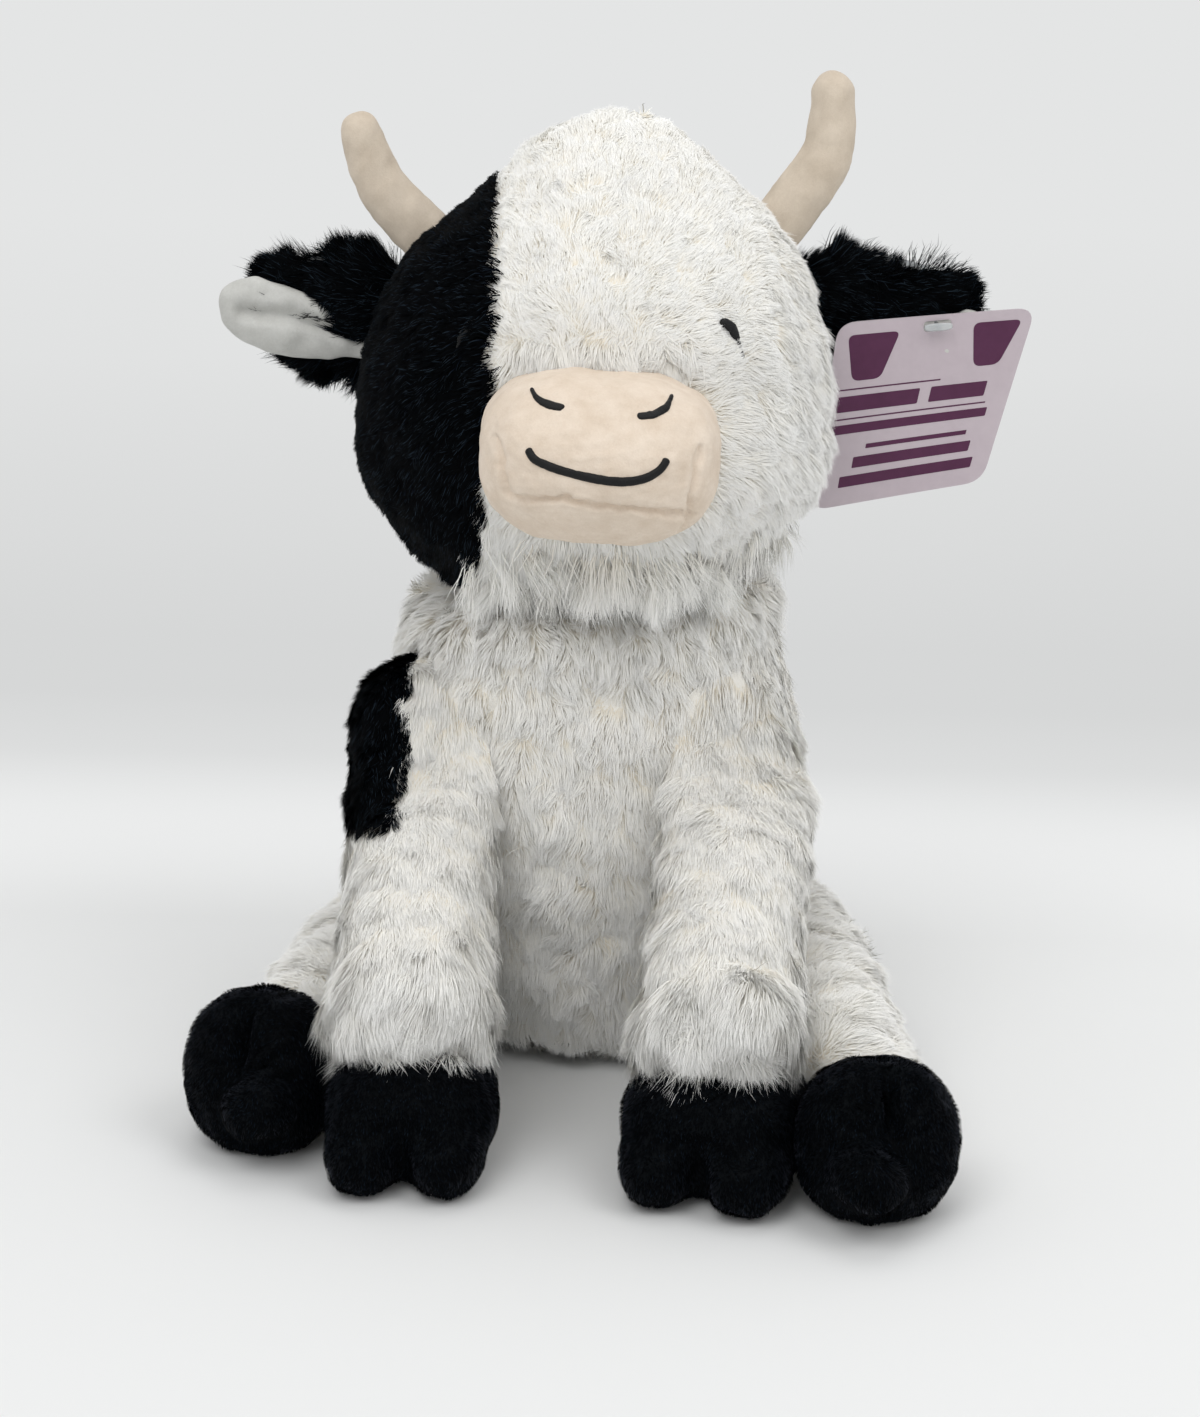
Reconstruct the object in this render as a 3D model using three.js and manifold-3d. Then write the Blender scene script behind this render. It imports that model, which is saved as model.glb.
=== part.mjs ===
// A sitting plush cow, in millimetres, with +Z up. The cow faces -Y, so its own left side is at +X.
// The origin is the middle of the flat seat panel that it sits on.
import * as THREE from "three";
import { mergeVertices } from "three/addons/utils/BufferGeometryUtils.js";
import Module from "manifold-3d";

const wasm = await Module();
wasm.setup();

// Clearances, and how far a cutting tool runs past what it cuts
const seamGap = 0.35;
const turningGap = 0.6;
const overrun = 30;
const flatCut = 0.8;

// Torso: a pear of revolution about the neck axis
const torsoHeight = 163;
const torsoRadius = 72;
const torsoShoulderRound = 55;
const torsoSeatRound = 15;
const torsoSunk = 5;
const torsoShares = [0.9, 0.985, 1, 0.985, 0.945, 0.9, 0.86];
const coverThickness = 5;
const seatPanelRadius = 44;
const seatPanelThickness = 4;

// Squeaker: a blown bulb with a reed plug in its mouth
const squeakerRadius = 19;
const squeakerHeight = 26;
const squeakerWall = 1.4;
const reedRadius = 5;
const reedLength = 9;
const reedFlange = 1.6;
const reedBore = 1.2;

// Head: an egg that narrows to the crown, turned a little to the cow's left
const headNest = 14;
const headHeight = 147;
const headRadius = 75;
const headBottom = torsoHeight - headNest;
const headForward = 16;
const headDepthShare = 0.92;
const headCrownLean = 14;
const headCrownRound = 60;
const headChinRound = 42;
const headShares = [0.93, 0.99, 1.01, 0.95, 0.8, 0.64];
const headTurnDegrees = 4.5;
const facePanelBack = 14;
const facePanelShares = [
  [-0.415, 1.2],
  [-0.41, 0.62],
  [-0.43, 0.48],
  [-0.45, 0.34],
  [-0.5, 0.22],
  [-0.62, 0.05],
  [-1.3, -0.1],
  [-1.3, 1.2],
];

// Muzzle: a padded box, with raised stitching for the nostrils and the smile
const muzzleWidth = 70;
const muzzleHeight = 47;
const muzzleDepth = 72;
const muzzleBoxShare = 2.9;
const muzzleFront = 122;
const muzzleRise = 57;
const muzzleTiltDegrees = 3;
const stitchWidth = 2.4;
const smileShares = [
  [-0.29, 0.22],
  [-0.22, 0.07],
  [-0.1, -0.02],
  [0.04, -0.05],
  [0.17, -0.02],
  [0.28, 0.12],
];
const nostrilShares = [
  [-0.29, 0.8],
  [-0.22, 0.72],
  [-0.14, 0.7],
];

// Eyes: small satin-stitched ovals on the face
const eyeWidth = 7;
const eyeHeight = 5;
const eyeProud = 1;
const eyeAside = 39;
const eyeRise = 93;

// Horns: each path as shares of the head's radius aside and behind, and of its height
const hornBaseRadius = 8.6;
const hornTipRadius = 6.2;
const hornRightShares = [
  [-0.533, 0.053, 0.619],
  [-0.733, 0.08, 0.728],
  [-0.92, 0.093, 0.837],
  [-1.027, 0.107, 0.986],
];
const hornLeftShares = [
  [0.613, 0.027, 0.673],
  [0.813, 0.053, 0.796],
  [0.947, 0.067, 0.898],
  [0.973, 0.08, 1.075],
];

// Ears: soft leaves with a lining in front and a film of crinkle foil inside
const earReachRight = 122;
const earReachLeft = 127;
const earRoot = 58;
const earBack = 12;
const earLevelShare = 0.585;
const earLevel = headBottom + earLevelShare * headHeight;
const earTipDrop = 2;
const earHalfHeight = 22;
const earThicknessShare = 0.3;
const earShares = [0.8, 1, 1, 0.82, 0.55];
const earRound = 18;
const liningMargin = 6;
const liningProud = 2.2;
const filmThickness = 0.6;
const filmMargin = 8;

// Front legs, each a path from shoulder to ankle
const frontLegRadius = 26.5;
const frontLegShares = [0.98, 1, 0.96, 0.98, 1.02];
const shoulderAsideRight = 53;
const shoulderAsideLeft = 47;
const shoulderForward = 26;
const shoulderLevel = 117;
const elbowForward = 80;
const elbowLevel = 72;
const ankleAside = 45;
const ankleForward = 133;
const ankleLevel = 35;
const frontLegRound = 20;
const shoulderHingeForward = 22;
const shoulderHingeLevel = 127;
const liftStepDegrees = 3;
const liftSteps = 5;
const frontHoofWidth = 54;
const frontHoofDepth = 56;
const frontHoofHeight = 40;
const frontHoofAhead = 4;
const hoofBoxShare = 2.6;
const cleftWidth = 3.4;
const cleftDepth = 17;
const shoulderPatchTop = 138;
const shoulderPatchBottom = 70;
const shoulderPatchInner = 61;
const shoulderPatchThickness = 4;

// Hind legs, each with its own stretch, as the toy sits unevenly
const hindLegRadius = 26;
const hindLegShares = [1, 1.02, 0.95, 0.84];
const hindLegRound = 24;
const hipAside = 50;
const hipBack = 8;
const hipLevel = 26;
const hindRight = { knee: [-68, -44, 26], ankle: [-84, -100, 24] };
const hindLeft = { knee: [68, -54, 26], ankle: [86, -124, 24] };
const footRight = [-93, -121, 22.5];
const footLeft = [92, -149, 22.5];
const footWidth = 47;
const footDepth = 36;
const footHeight = 50;
const footBoxShare = 2.3;
const footTiltDegrees = 16;
const footSplayDegrees = 10;
const innerToeWidth = 24;
const innerToeDepth = 26;
const innerToeHeight = 21;
const innerToeForward = 15;
const innerToeDrop = 9;
const foldWidth = 3;
const foldDepth = 11;

// Tail
const tailRadius = 4.6;
const tailRoot = [0, 68, 70];
const tailBend = [0, 86, 52];
const tailEnd = [0, 88, 24];
const tuftWidth = 19;
const tuftHeight = 30;
const tuftLevel = 15.5;

// Hang tag on a plastic pin through the left ear. It spans from beside the cheek past the ear's tip,
// and its corners are shares of that span and of its height, from the hole's level.
const tagThickness = 0.8;
const tagCheekLap = 3;
const tagPastEar = 10;
const tagHeight = 62;
const tagHoleRadius = 2;
const tagHoleInset = 20;
const tagHoleDrop = 7;
const tagCornerShares = [
  [0.115, 0.048],
  [1, 0.129],
  [0.754, -0.71],
  [0, -0.871],
];
const tagCornerRadius = 5;
const pinRadius = 0.8;
const pinHeadRadius = 3;
const pinHeadThickness = 1.2;
const pinBarRadius = 2.2;
const tagStandoff = 3;

// Counts of faces
const torsoSides = 32;
const torsoRings = 14;
const coreSides = 18;
const coreRings = 9;
const limbSides = 16;
const limbRings = 9;
const fineSides = 10;
const fineRings = 7;
const stitchSides = 6;
const padSides = 18;
const padRings = 12;

const degree = Math.PI / 180;

// Colours and finishes
const cloth = (color, roughness) =>
  new THREE.MeshStandardMaterial({ color, roughness, metalness: 0 });
const whitePlush = cloth(0xf2f2ee, 0.95);
const blackPlush = cloth(0x08090c, 0.9);
const blackVelour = cloth(0x0c0d10, 0.85);
const creamVelour = cloth(0xe8dacb, 0.85);
const blackThread = cloth(0x101010, 0.6);
const whiteLining = cloth(0xeeeeea, 0.8);
const fibreFill = cloth(0xf8f8f4, 1);
const feltPanel = cloth(0xe6e6e0, 0.95);
const clearPlastic = cloth(0xdfe4e6, 0.3);
const bulbPlastic = cloth(0xe9e4d6, 0.45);
const lilacCard = cloth(0xb9a6bd, 0.6);

// A manifold solid from a closed geometry
function solidFrom(geometry) {
  const bare = geometry.index ? geometry.toNonIndexed() : geometry.clone();
  bare.deleteAttribute("normal");
  bare.deleteAttribute("uv");
  const merged = mergeVertices(bare);
  return new wasm.Manifold(
    new wasm.Mesh({
      numProp: 3,
      vertProperties: merged.attributes.position.array,
      triVerts: new Uint32Array(merged.index.array),
    }),
  );
}

// A named mesh from a manifold solid
function meshFrom(name, solid, material) {
  const { vertProperties, triVerts } = solid.getMesh();
  const geometry = new THREE.BufferGeometry();
  geometry.setAttribute("position", new THREE.BufferAttribute(vertProperties, 3));
  geometry.setIndex(new THREE.BufferAttribute(triVerts, 1));
  geometry.computeVertexNormals();
  const mesh = new THREE.Mesh(geometry, material);
  mesh.name = name;
  return mesh;
}

// How far an end cap has opened, from 0 at its pole to 1 past its length
const opened = (distance, length) => Math.sqrt(1 - (1 - Math.min(1, distance / length)) ** 2);

// A stuffed form along a curve: it swells by its shares, is closed by a round cap at each end,
// and flattens across the broad direction. A positive grow makes it larger all round.
function stuffed({ path, radius, shares, caps, broad, flatShare = 1, sides, rings, grow = 0 }) {
  const curve = new THREE.CatmullRomCurve3(path.map((p) => new THREE.Vector3(...p)));
  const swell = new THREE.SplineCurve(
    shares.map((share, i) => new THREE.Vector2(i / (shares.length - 1), share)),
  );
  const length = curve.getLength();
  const up = new THREE.Vector3(...broad);
  const corners = [];
  const faces = [];
  for (let ring = 0; ring <= rings; ring++) {
    const t = (1 - Math.cos((Math.PI * ring) / rings)) / 2;
    const along = curve.getTangentAt(t);
    const centre = curve.getPointAt(t).addScaledVector(along, grow * (2 * t - 1));
    const wide = up.clone().addScaledVector(along, -up.dot(along)).normalize();
    const thin = new THREE.Vector3().crossVectors(along, wide);
    const pole = ring === 0 || ring === rings;
    const cap = opened(t * length, caps[0]) * opened((1 - t) * length, caps[1]);
    const size = radius * swell.getPoint(t).y * cap;
    for (let side = 0; side < (pole ? 1 : sides); side++) {
      const turn = (2 * Math.PI * side) / sides;
      const corner = centre.clone();
      if (!pole) {
        corner.addScaledVector(wide, (size + grow) * Math.cos(turn));
        corner.addScaledVector(thin, (size * flatShare + grow) * Math.sin(turn));
      }
      corners.push(...corner.toArray());
    }
  }
  const at = (ring, side) => (ring === 0 ? 0 : 1 + (ring - 1) * sides + (side % sides));
  const last = 1 + (rings - 1) * sides;
  for (let side = 0; side < sides; side++) {
    faces.push(0, at(1, side + 1), at(1, side));
    for (let ring = 1; ring < rings - 1; ring++) {
      faces.push(at(ring, side), at(ring, side + 1), at(ring + 1, side + 1));
      faces.push(at(ring, side), at(ring + 1, side + 1), at(ring + 1, side));
    }
    faces.push(last, at(rings - 1, side), at(rings - 1, side + 1));
  }
  const geometry = new THREE.BufferGeometry();
  geometry.setAttribute("position", new THREE.Float32BufferAttribute(corners, 3));
  geometry.setIndex(faces);
  return solidFrom(geometry);
}

// A pad between a ball and a box: 2 gives an ellipsoid, and a higher box share fills its corners
function pad(width, depth, height, boxShare, sides = padSides, rings = padRings) {
  const geometry = new THREE.SphereGeometry(1, sides, rings);
  const spots = geometry.attributes.position;
  const spot = new THREE.Vector3();
  for (let i = 0; i < spots.count; i++) {
    spot.fromBufferAttribute(spots, i);
    const sum =
      Math.abs(spot.x) ** boxShare + Math.abs(spot.y) ** boxShare + Math.abs(spot.z) ** boxShare;
    const reach = sum ** (-1 / boxShare) / 2;
    spots.setXYZ(i, spot.x * reach * width, spot.y * reach * depth, spot.z * reach * height);
  }
  return solidFrom(geometry);
}

// A lathe solid about +Z from a closed or axis-to-axis profile of [radius, height] pairs
function turned(profile, sides) {
  const points = profile.map(([radius, height]) => new THREE.Vector2(radius, height));
  const geometry = new THREE.LatheGeometry(points, sides);
  geometry.rotateX(Math.PI / 2);
  return solidFrom(geometry);
}

// A solid cylinder about +Z between two heights
const rod = (radius, low, high, sides) =>
  turned([[0, low], [radius, low], [radius, high], [0, high]], sides);

// A solid block between two opposite corners
function block(low, high) {
  const geometry = new THREE.BoxGeometry(high[0] - low[0], high[1] - low[1], high[2] - low[2]);
  geometry.translate((high[0] + low[0]) / 2, (high[1] + low[1]) / 2, (high[2] + low[2]) / 2);
  return solidFrom(geometry);
}

// A shape drawn in the front view, as [x, z] pairs, pushed through from y = front to y = back
function frontPlate(shape, front, back) {
  const geometry = new THREE.ExtrudeGeometry(shape, { depth: back - front, bevelEnabled: false });
  geometry.rotateX(Math.PI / 2);
  geometry.translate(0, back, 0);
  return solidFrom(geometry);
}

const moved = (solid, x, y, z) => solid.translate([x, y, z]);

// What stands under the floor is cut away, so soft forms rest flat
const underFloor = block(
  [-torsoHeight * 2, -torsoHeight * 2, -torsoHeight],
  [torsoHeight * 2, torsoHeight * 2, 0],
);
const onFloor = (solid) => solid.subtract(underFloor);

// Torso, its stuffing, its squeaker and the seat panel that closes it
const torsoForm = (grow = 0) =>
  stuffed({
    path: [[0, 0, -torsoSunk], [0, 0, torsoHeight / 2], [0, 0, torsoHeight]],
    radius: torsoRadius,
    shares: torsoShares,
    caps: [torsoSeatRound, torsoShoulderRound],
    broad: [1, 0, 0],
    sides: grow < 0 ? coreSides : torsoSides,
    rings: grow < 0 ? coreRings : torsoRings,
    grow,
  });
const torsoTurning = torsoForm(turningGap);

function torsoPieces() {
  const mouth = rod(seatPanelRadius + seamGap, -overrun, seatPanelThickness + coverThickness, torsoSides);
  const cover = onFloor(torsoForm()).subtract(torsoForm(-coverThickness)).subtract(mouth);
  const panel = rod(seatPanelRadius, 0, seatPanelThickness, torsoSides);
  const stuffingFloor = block(
    [-torsoRadius * 2, -torsoRadius * 2, -torsoHeight],
    [torsoRadius * 2, torsoRadius * 2, seatPanelThickness + seamGap],
  );
  const bulbBottom = seatPanelThickness + seamGap;
  const shaft = rod(
    squeakerRadius + seamGap,
    -overrun,
    bulbBottom + squeakerHeight + reedFlange + seamGap,
    limbSides,
  );
  const stuffing = torsoForm(-coverThickness - seamGap).subtract(stuffingFloor).subtract(shaft);
  return [
    meshFrom("torso_cover", cover, whitePlush),
    meshFrom("torso_stuffing", stuffing, fibreFill),
    meshFrom("seat_panel", panel, feltPanel),
    ...squeakerPieces(bulbBottom),
  ];
}

function squeakerPieces(bottom) {
  const shoulder = squeakerRadius / 3;
  const inner = squeakerRadius - squeakerWall;
  const top = bottom + squeakerHeight;
  const bulb = turned(
    [
      [0, bottom],
      [squeakerRadius - shoulder, bottom],
      [squeakerRadius, bottom + shoulder],
      [squeakerRadius, top - shoulder],
      [squeakerRadius - shoulder, top],
      [reedRadius + seamGap, top],
      [reedRadius + seamGap, top - squeakerWall],
      [inner - shoulder, top - squeakerWall],
      [inner, top - shoulder],
      [inner, bottom + shoulder],
      [inner - shoulder, bottom + squeakerWall],
      [0, bottom + squeakerWall],
    ],
    limbSides,
  );
  const reed = turned(
    [
      [reedBore, top - reedLength],
      [reedRadius, top - reedLength],
      [reedRadius, top + seamGap],
      [reedRadius + reedFlange, top + seamGap],
      [reedRadius + reedFlange, top + reedFlange],
      [reedBore, top + reedFlange],
      [reedBore, top - reedLength],
    ],
    fineSides,
  );
  return [meshFrom("squeaker_bulb", bulb, bulbPlastic), meshFrom("squeaker_reed", reed, clearPlastic)];
}

// Head: a white cover, a black face panel let into it and the stuffing inside both
const headForm = (grow = 0) =>
  stuffed({
    path: [
      [0, -headForward, headBottom],
      [0, -headForward, headBottom + headHeight / 2],
      [headCrownLean, -headForward, headBottom + headHeight],
    ],
    radius: headRadius,
    shares: headShares,
    caps: [headChinRound, headCrownRound],
    broad: [1, 0, 0],
    flatShare: headDepthShare,
    sides: grow < 0 ? coreSides : torsoSides,
    rings: grow < 0 ? coreRings : torsoRings,
    grow,
  });
const headSeam = headForm(seamGap);
const headTurning = headForm(turningGap);

function facePanelRegion(margin) {
  const shape = new THREE.Shape(
    facePanelShares.map(
      ([aside, level]) =>
        new THREE.Vector2(aside * headRadius + margin, headBottom + level * headHeight),
    ),
  );
  return frontPlate(shape, -headForward - headRadius - overrun, facePanelBack + margin);
}

const muzzlePlace = (solid) =>
  moved(solid.rotate([0, muzzleTiltDegrees, 0]), 0, muzzleDepth / 2 - muzzleFront, headBottom + muzzleRise);
const muzzleForm = (grow = 0) =>
  muzzlePlace(
    pad(muzzleWidth + 2 * grow, muzzleDepth + 2 * grow, muzzleHeight + 2 * grow, muzzleBoxShare),
  );

function headPieces() {
  const core = headForm(-coverThickness);
  const shell = headForm().subtract(core).subtract(torsoTurning);
  const cover = shell.subtract(facePanelRegion(seamGap));
  const panel = shell.intersect(facePanelRegion(0));
  const stuffing = headForm(-coverThickness - seamGap).subtract(torsoTurning);
  return [
    meshFrom("head_cover", cover, whitePlush),
    meshFrom("face_panel", panel, blackPlush),
    meshFrom("head_stuffing", stuffing, fibreFill),
    meshFrom("muzzle", muzzleForm().subtract(headSeam), creamVelour),
    ...stitchPieces(),
    ...eyePieces(),
    hornPiece("horn_right", hornRightShares),
    hornPiece("horn_left", hornLeftShares),
  ];
}

// A point on the front of the muzzle, for shares of its half width and half height
function muzzleSpot([aside, level]) {
  const n = muzzleBoxShare;
  const filled = (2 * Math.abs(aside)) ** n + Math.abs(level) ** n;
  const front = -(muzzleDepth / 2) * (1 - filled) ** (1 / n);
  return new THREE.Vector3(aside * muzzleWidth, front, (level * muzzleHeight) / 2);
}

// A raised stitch that follows the muzzle, half sunk in it and then cut by it
function muzzleStitch(name, shares) {
  const curve = new THREE.CatmullRomCurve3(shares.map(muzzleSpot));
  const round = new THREE.Shape().absarc(0, 0, stitchWidth / 2, 0, 2 * Math.PI);
  const steps = shares.length * 3;
  const geometry = new THREE.ExtrudeGeometry(round, {
    steps,
    extrudePath: curve,
    curveSegments: stitchSides / 2,
  });
  const thread = muzzlePlace(solidFrom(geometry));
  return meshFrom(name, thread.subtract(muzzleForm(seamGap)), blackThread);
}

function stitchPieces() {
  const mirrored = nostrilShares.map(([aside, level]) => [-aside, level]);
  return [
    muzzleStitch("smile_stitch", smileShares),
    muzzleStitch("nostril_right", nostrilShares),
    muzzleStitch("nostril_left", mirrored),
  ];
}

// An eye is an oval rod through the face, trimmed to the height of its stitching
function eyePieces() {
  const proud = headForm(seamGap + eyeProud).subtract(headSeam);
  return [
    ["eye_right", -1],
    ["eye_left", 1],
  ].map(([name, side]) => {
    const oval = new THREE.Shape().absellipse(
      side * eyeAside,
      headBottom + eyeRise,
      eyeWidth / 2,
      eyeHeight / 2,
      0,
      2 * Math.PI,
    );
    const bar = frontPlate(oval, -headForward - headRadius - overrun, -headForward);
    return meshFrom(name, bar.intersect(proud), blackThread);
  });
}

function hornPiece(name, pathShares) {
  const horn = stuffed({
    path: pathShares.map(([aside, back, level]) => [
      aside * headRadius,
      back * headRadius,
      headBottom + level * headHeight,
    ]),
    radius: hornBaseRadius,
    shares: [1, 1, hornTipRadius / hornBaseRadius],
    caps: [hornBaseRadius, hornTipRadius],
    broad: [0, 1, 0],
    sides: fineSides,
    rings: fineRings,
  });
  return meshFrom(name, horn.subtract(headSeam), creamVelour);
}

// An ear leaf, from inside the head out to the tip; side is -1 for the right ear and 1 for the left
function earLeaf(side, { margin = 0, thickness, ahead = 0, grow = 0, inset = 0 }) {
  const half = earHalfHeight - margin;
  const reach = side > 0 ? earReachLeft : earReachRight;
  return stuffed({
    path: [
      [side * (earRoot + inset), earBack - ahead, earLevel],
      [side * ((earRoot + reach) / 2), earBack - ahead, earLevel],
      [side * (reach - margin), earBack - ahead, earLevel - earTipDrop],
    ],
    radius: half,
    shares: earShares,
    caps: [earRound, earRound],
    broad: [0, 0, 1],
    flatShare: thickness / 2 / half,
    sides: limbSides,
    rings: limbRings,
    grow,
  });
}

const earThickness = 2 * earHalfHeight * earThicknessShare;
const tagHole = [earReachLeft - tagHoleInset, earLevel - tagHoleDrop];
const tagInner = headRadius - tagCheekLap;
const tagOuter = earReachLeft + tagPastEar;

function pinAt(grow) {
  const back = earBack + earThickness / 2 + pinHeadThickness;
  const front = tagFront() - pinHeadThickness - seamGap;
  const bar = pinBarRadius + grow;
  const shank = pinRadius + grow;
  const head = pinHeadRadius + grow;
  const profile = [
    [0, front - grow],
    [head, front - grow],
    [head, front + pinHeadThickness + grow],
    [shank, front + pinHeadThickness + grow],
    [shank, back - pinHeadThickness - grow],
    [bar, back - pinHeadThickness - grow],
    [bar, back + grow],
    [0, back + grow],
  ];
  const alongY = turned(profile, fineSides).rotate([-90, 0, 0]);
  return moved(alongY, tagHole[0], 0, tagHole[1]);
}

const tagFront = () => earBack - earThickness / 2 - liningProud - tagStandoff;

function earPieces(side, name) {
  const whole = earLeaf(side, { thickness: earThickness });
  const film = earLeaf(side, { margin: filmMargin, thickness: filmThickness });
  const pocket = earLeaf(side, { margin: filmMargin, thickness: filmThickness, grow: seamGap });
  const lining = earLeaf(side, {
    margin: liningMargin,
    thickness: earThickness,
    ahead: liningProud,
    inset: liningMargin,
  });
  const seat = earLeaf(side, { thickness: earThickness, grow: seamGap });
  const cut = side > 0 ? headTurning.add(pinAt(seamGap)) : headTurning;
  return [
    meshFrom("ear_" + name, whole.subtract(pocket).subtract(cut), blackPlush),
    meshFrom("ear_lining_" + name, lining.subtract(seat).subtract(cut), whiteLining),
    meshFrom("crinkle_film_" + name, film.subtract(cut), clearPlastic),
  ];
}

// Hang tag: a slanted card with round corners and a hole, held by the pin
function tagPieces() {
  const card = new THREE.Shape();
  const corners = tagCornerShares.map(
    ([aside, level]) =>
      new THREE.Vector2(tagInner + aside * (tagOuter - tagInner), tagHole[1] + level * tagHeight),
  );
  corners.forEach((corner, i) => {
    const before = corners[(i + corners.length - 1) % corners.length];
    const after = corners[(i + 1) % corners.length];
    const from = before.clone().sub(corner).setLength(tagCornerRadius).add(corner);
    const to = after.clone().sub(corner).setLength(tagCornerRadius).add(corner);
    if (i === 0) card.moveTo(from.x, from.y);
    else card.lineTo(from.x, from.y);
    card.quadraticCurveTo(corner.x, corner.y, to.x, to.y);
  });
  card.closePath();
  card.holes.push(new THREE.Path().absarc(tagHole[0], tagHole[1], tagHoleRadius, 0, 2 * Math.PI));
  const geometry = new THREE.ExtrudeGeometry(card, {
    depth: tagThickness,
    bevelEnabled: false,
    curveSegments: stitchSides,
  });
  geometry.rotateX(Math.PI / 2);
  geometry.translate(0, tagFront() + tagThickness, 0);
  return [
    meshFrom("hang_tag", solidFrom(geometry), lilacCard),
    meshFrom("tag_pin", pinAt(0), clearPlastic),
  ];
}

// Front leg: a bent, tapering tube cut by the torso, with a cloven hoof
function frontLegForm(side, grow = 0) {
  const shoulderAside = side > 0 ? shoulderAsideLeft : -shoulderAsideRight;
  return stuffed({
    path: [
      [shoulderAside, -shoulderForward, shoulderLevel],
      [(shoulderAside + side * ankleAside) / 2, -elbowForward, elbowLevel],
      [side * ankleAside, -ankleForward, ankleLevel],
    ],
    radius: frontLegRadius,
    shares: frontLegShares,
    caps: [frontLegRadius, frontLegRound],
    broad: [1, 0, 0],
    sides: limbSides,
    rings: limbRings,
    grow,
  });
}

function frontHoof(side, grow = 0) {
  const sole = pad(
    frontHoofWidth + 2 * grow,
    frontHoofDepth + 2 * grow,
    frontHoofHeight + 2 * grow,
    hoofBoxShare,
  );
  const cleft = moved(
    pad(cleftWidth, cleftDepth * 2, frontHoofHeight * 2, hoofBoxShare, fineSides, fineRings),
    0,
    -frontHoofDepth / 2,
    0,
  );
  return moved(
    sole.subtract(cleft),
    side * ankleAside,
    -ankleForward - frontHoofAhead,
    frontHoofHeight / 2 - flatCut,
  );
}

// A solid turned about the shoulder hinge, as the leg lifts ahead of the cow
function lifted(solid, degrees) {
  const atHinge = moved(solid, 0, shoulderHingeForward, -shoulderHingeLevel);
  const turnedSolid = atHinge.rotate([-degrees, 0, 0]);
  return moved(turnedSolid, 0, -shoulderHingeForward, shoulderHingeLevel);
}

// The room that a front leg takes at rest and as its hoof starts to lift
function frontLegRoom(side) {
  let room = frontLegForm(side, seamGap).add(frontHoof(side, seamGap));
  for (let step = 1; step <= liftSteps; step++) {
    room = room.add(lifted(frontHoof(side, turningGap), step * liftStepDegrees));
  }
  return room;
}

function shoulderPatchRegion(margin) {
  return block(
    [-torsoRadius * 2, -elbowForward - torsoRadius, shoulderPatchBottom - margin],
    [-shoulderPatchInner + margin, overrun, shoulderPatchTop + margin],
  );
}

function frontLegPieces(side, name) {
  const leg = onFloor(frontLegForm(side)).subtract(torsoTurning);
  const hoof = onFloor(frontHoof(side)).subtract(frontLegForm(side, seamGap));
  const pieces = [meshFrom("front_hoof_" + name, hoof, blackVelour)];
  if (side > 0) return [meshFrom("front_leg_" + name, leg, whitePlush), ...pieces];
  const skin = frontLegForm(side).subtract(frontLegForm(side, -shoulderPatchThickness));
  const recess = frontLegForm(side, seamGap)
    .subtract(frontLegForm(side, -shoulderPatchThickness - seamGap))
    .intersect(shoulderPatchRegion(seamGap));
  const patch = skin.intersect(shoulderPatchRegion(0)).subtract(torsoTurning);
  return [
    meshFrom("front_leg_" + name, leg.subtract(recess), whitePlush),
    meshFrom("shoulder_patch", patch, blackPlush),
    ...pieces,
  ];
}

// Hind leg: it lies on the floor, ahead and outward, with an upright folded foot
function hindLegForm(side, { knee, ankle }, grow = 0) {
  return stuffed({
    path: [[side * hipAside, hipBack, hipLevel], knee, ankle],
    radius: hindLegRadius,
    shares: hindLegShares,
    caps: [hindLegRadius, hindLegRound],
    broad: [0, 0, 1],
    sides: limbSides,
    rings: limbRings,
    grow,
  });
}

function hindFoot(side, place) {
  const outer = pad(footWidth, footDepth, footHeight, footBoxShare);
  const toe = moved(
    pad(innerToeWidth, innerToeDepth, innerToeHeight, footBoxShare, limbSides, limbRings),
    (-side * innerToeWidth) / 4,
    -innerToeForward,
    -innerToeDrop,
  );
  const fold = pad(foldWidth, foldDepth * 2, footHeight, hoofBoxShare, fineSides, fineRings);
  const opening = moved(fold, (side * foldWidth) / 2, -footDepth / 2, footHeight / 2);
  const foot = outer.subtract(opening).add(toe);
  const turnedFoot = foot.rotate([-footTiltDegrees, 0, side * footSplayDegrees]);
  return moved(turnedFoot, place[0], place[1], place[2]);
}

function hindLegPieces(side, name, route, place) {
  const room = frontLegRoom(side);
  const leg = onFloor(hindLegForm(side, route)).subtract(torsoTurning).subtract(room);
  const foot = onFloor(hindFoot(side, place)).subtract(hindLegForm(side, route, seamGap));
  return [
    meshFrom("hind_leg_" + name, leg, whitePlush),
    meshFrom("hind_hoof_" + name, foot.subtract(room), blackVelour),
  ];
}

// Tail with a tuft at its end
function tailPieces() {
  const tail = (grow) =>
    stuffed({
      path: [tailRoot, tailBend, tailEnd],
      radius: tailRadius,
      shares: [1, 0.9, 1],
      caps: [tailRadius, tailRadius],
      broad: [1, 0, 0],
      sides: fineSides,
      rings: fineRings,
      grow,
    });
  const tuft = moved(
    pad(tuftWidth, tuftWidth, tuftHeight, hoofBoxShare, fineSides, fineRings),
    tailEnd[0],
    tailEnd[1],
    tuftLevel,
  );
  return [
    meshFrom("tail", tail(0).subtract(torsoTurning), whitePlush),
    meshFrom("tail_tuft", onFloor(tuft).subtract(tail(seamGap)), blackPlush),
  ];
}

// The head group turns with everything that is sewn or pinned to it
const headGroup = new THREE.Group();
headGroup.rotation.z = headTurnDegrees * degree;
headGroup.add(
  ...headPieces(),
  ...earPieces(-1, "right"),
  ...earPieces(1, "left"),
  ...tagPieces(),
);

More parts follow.
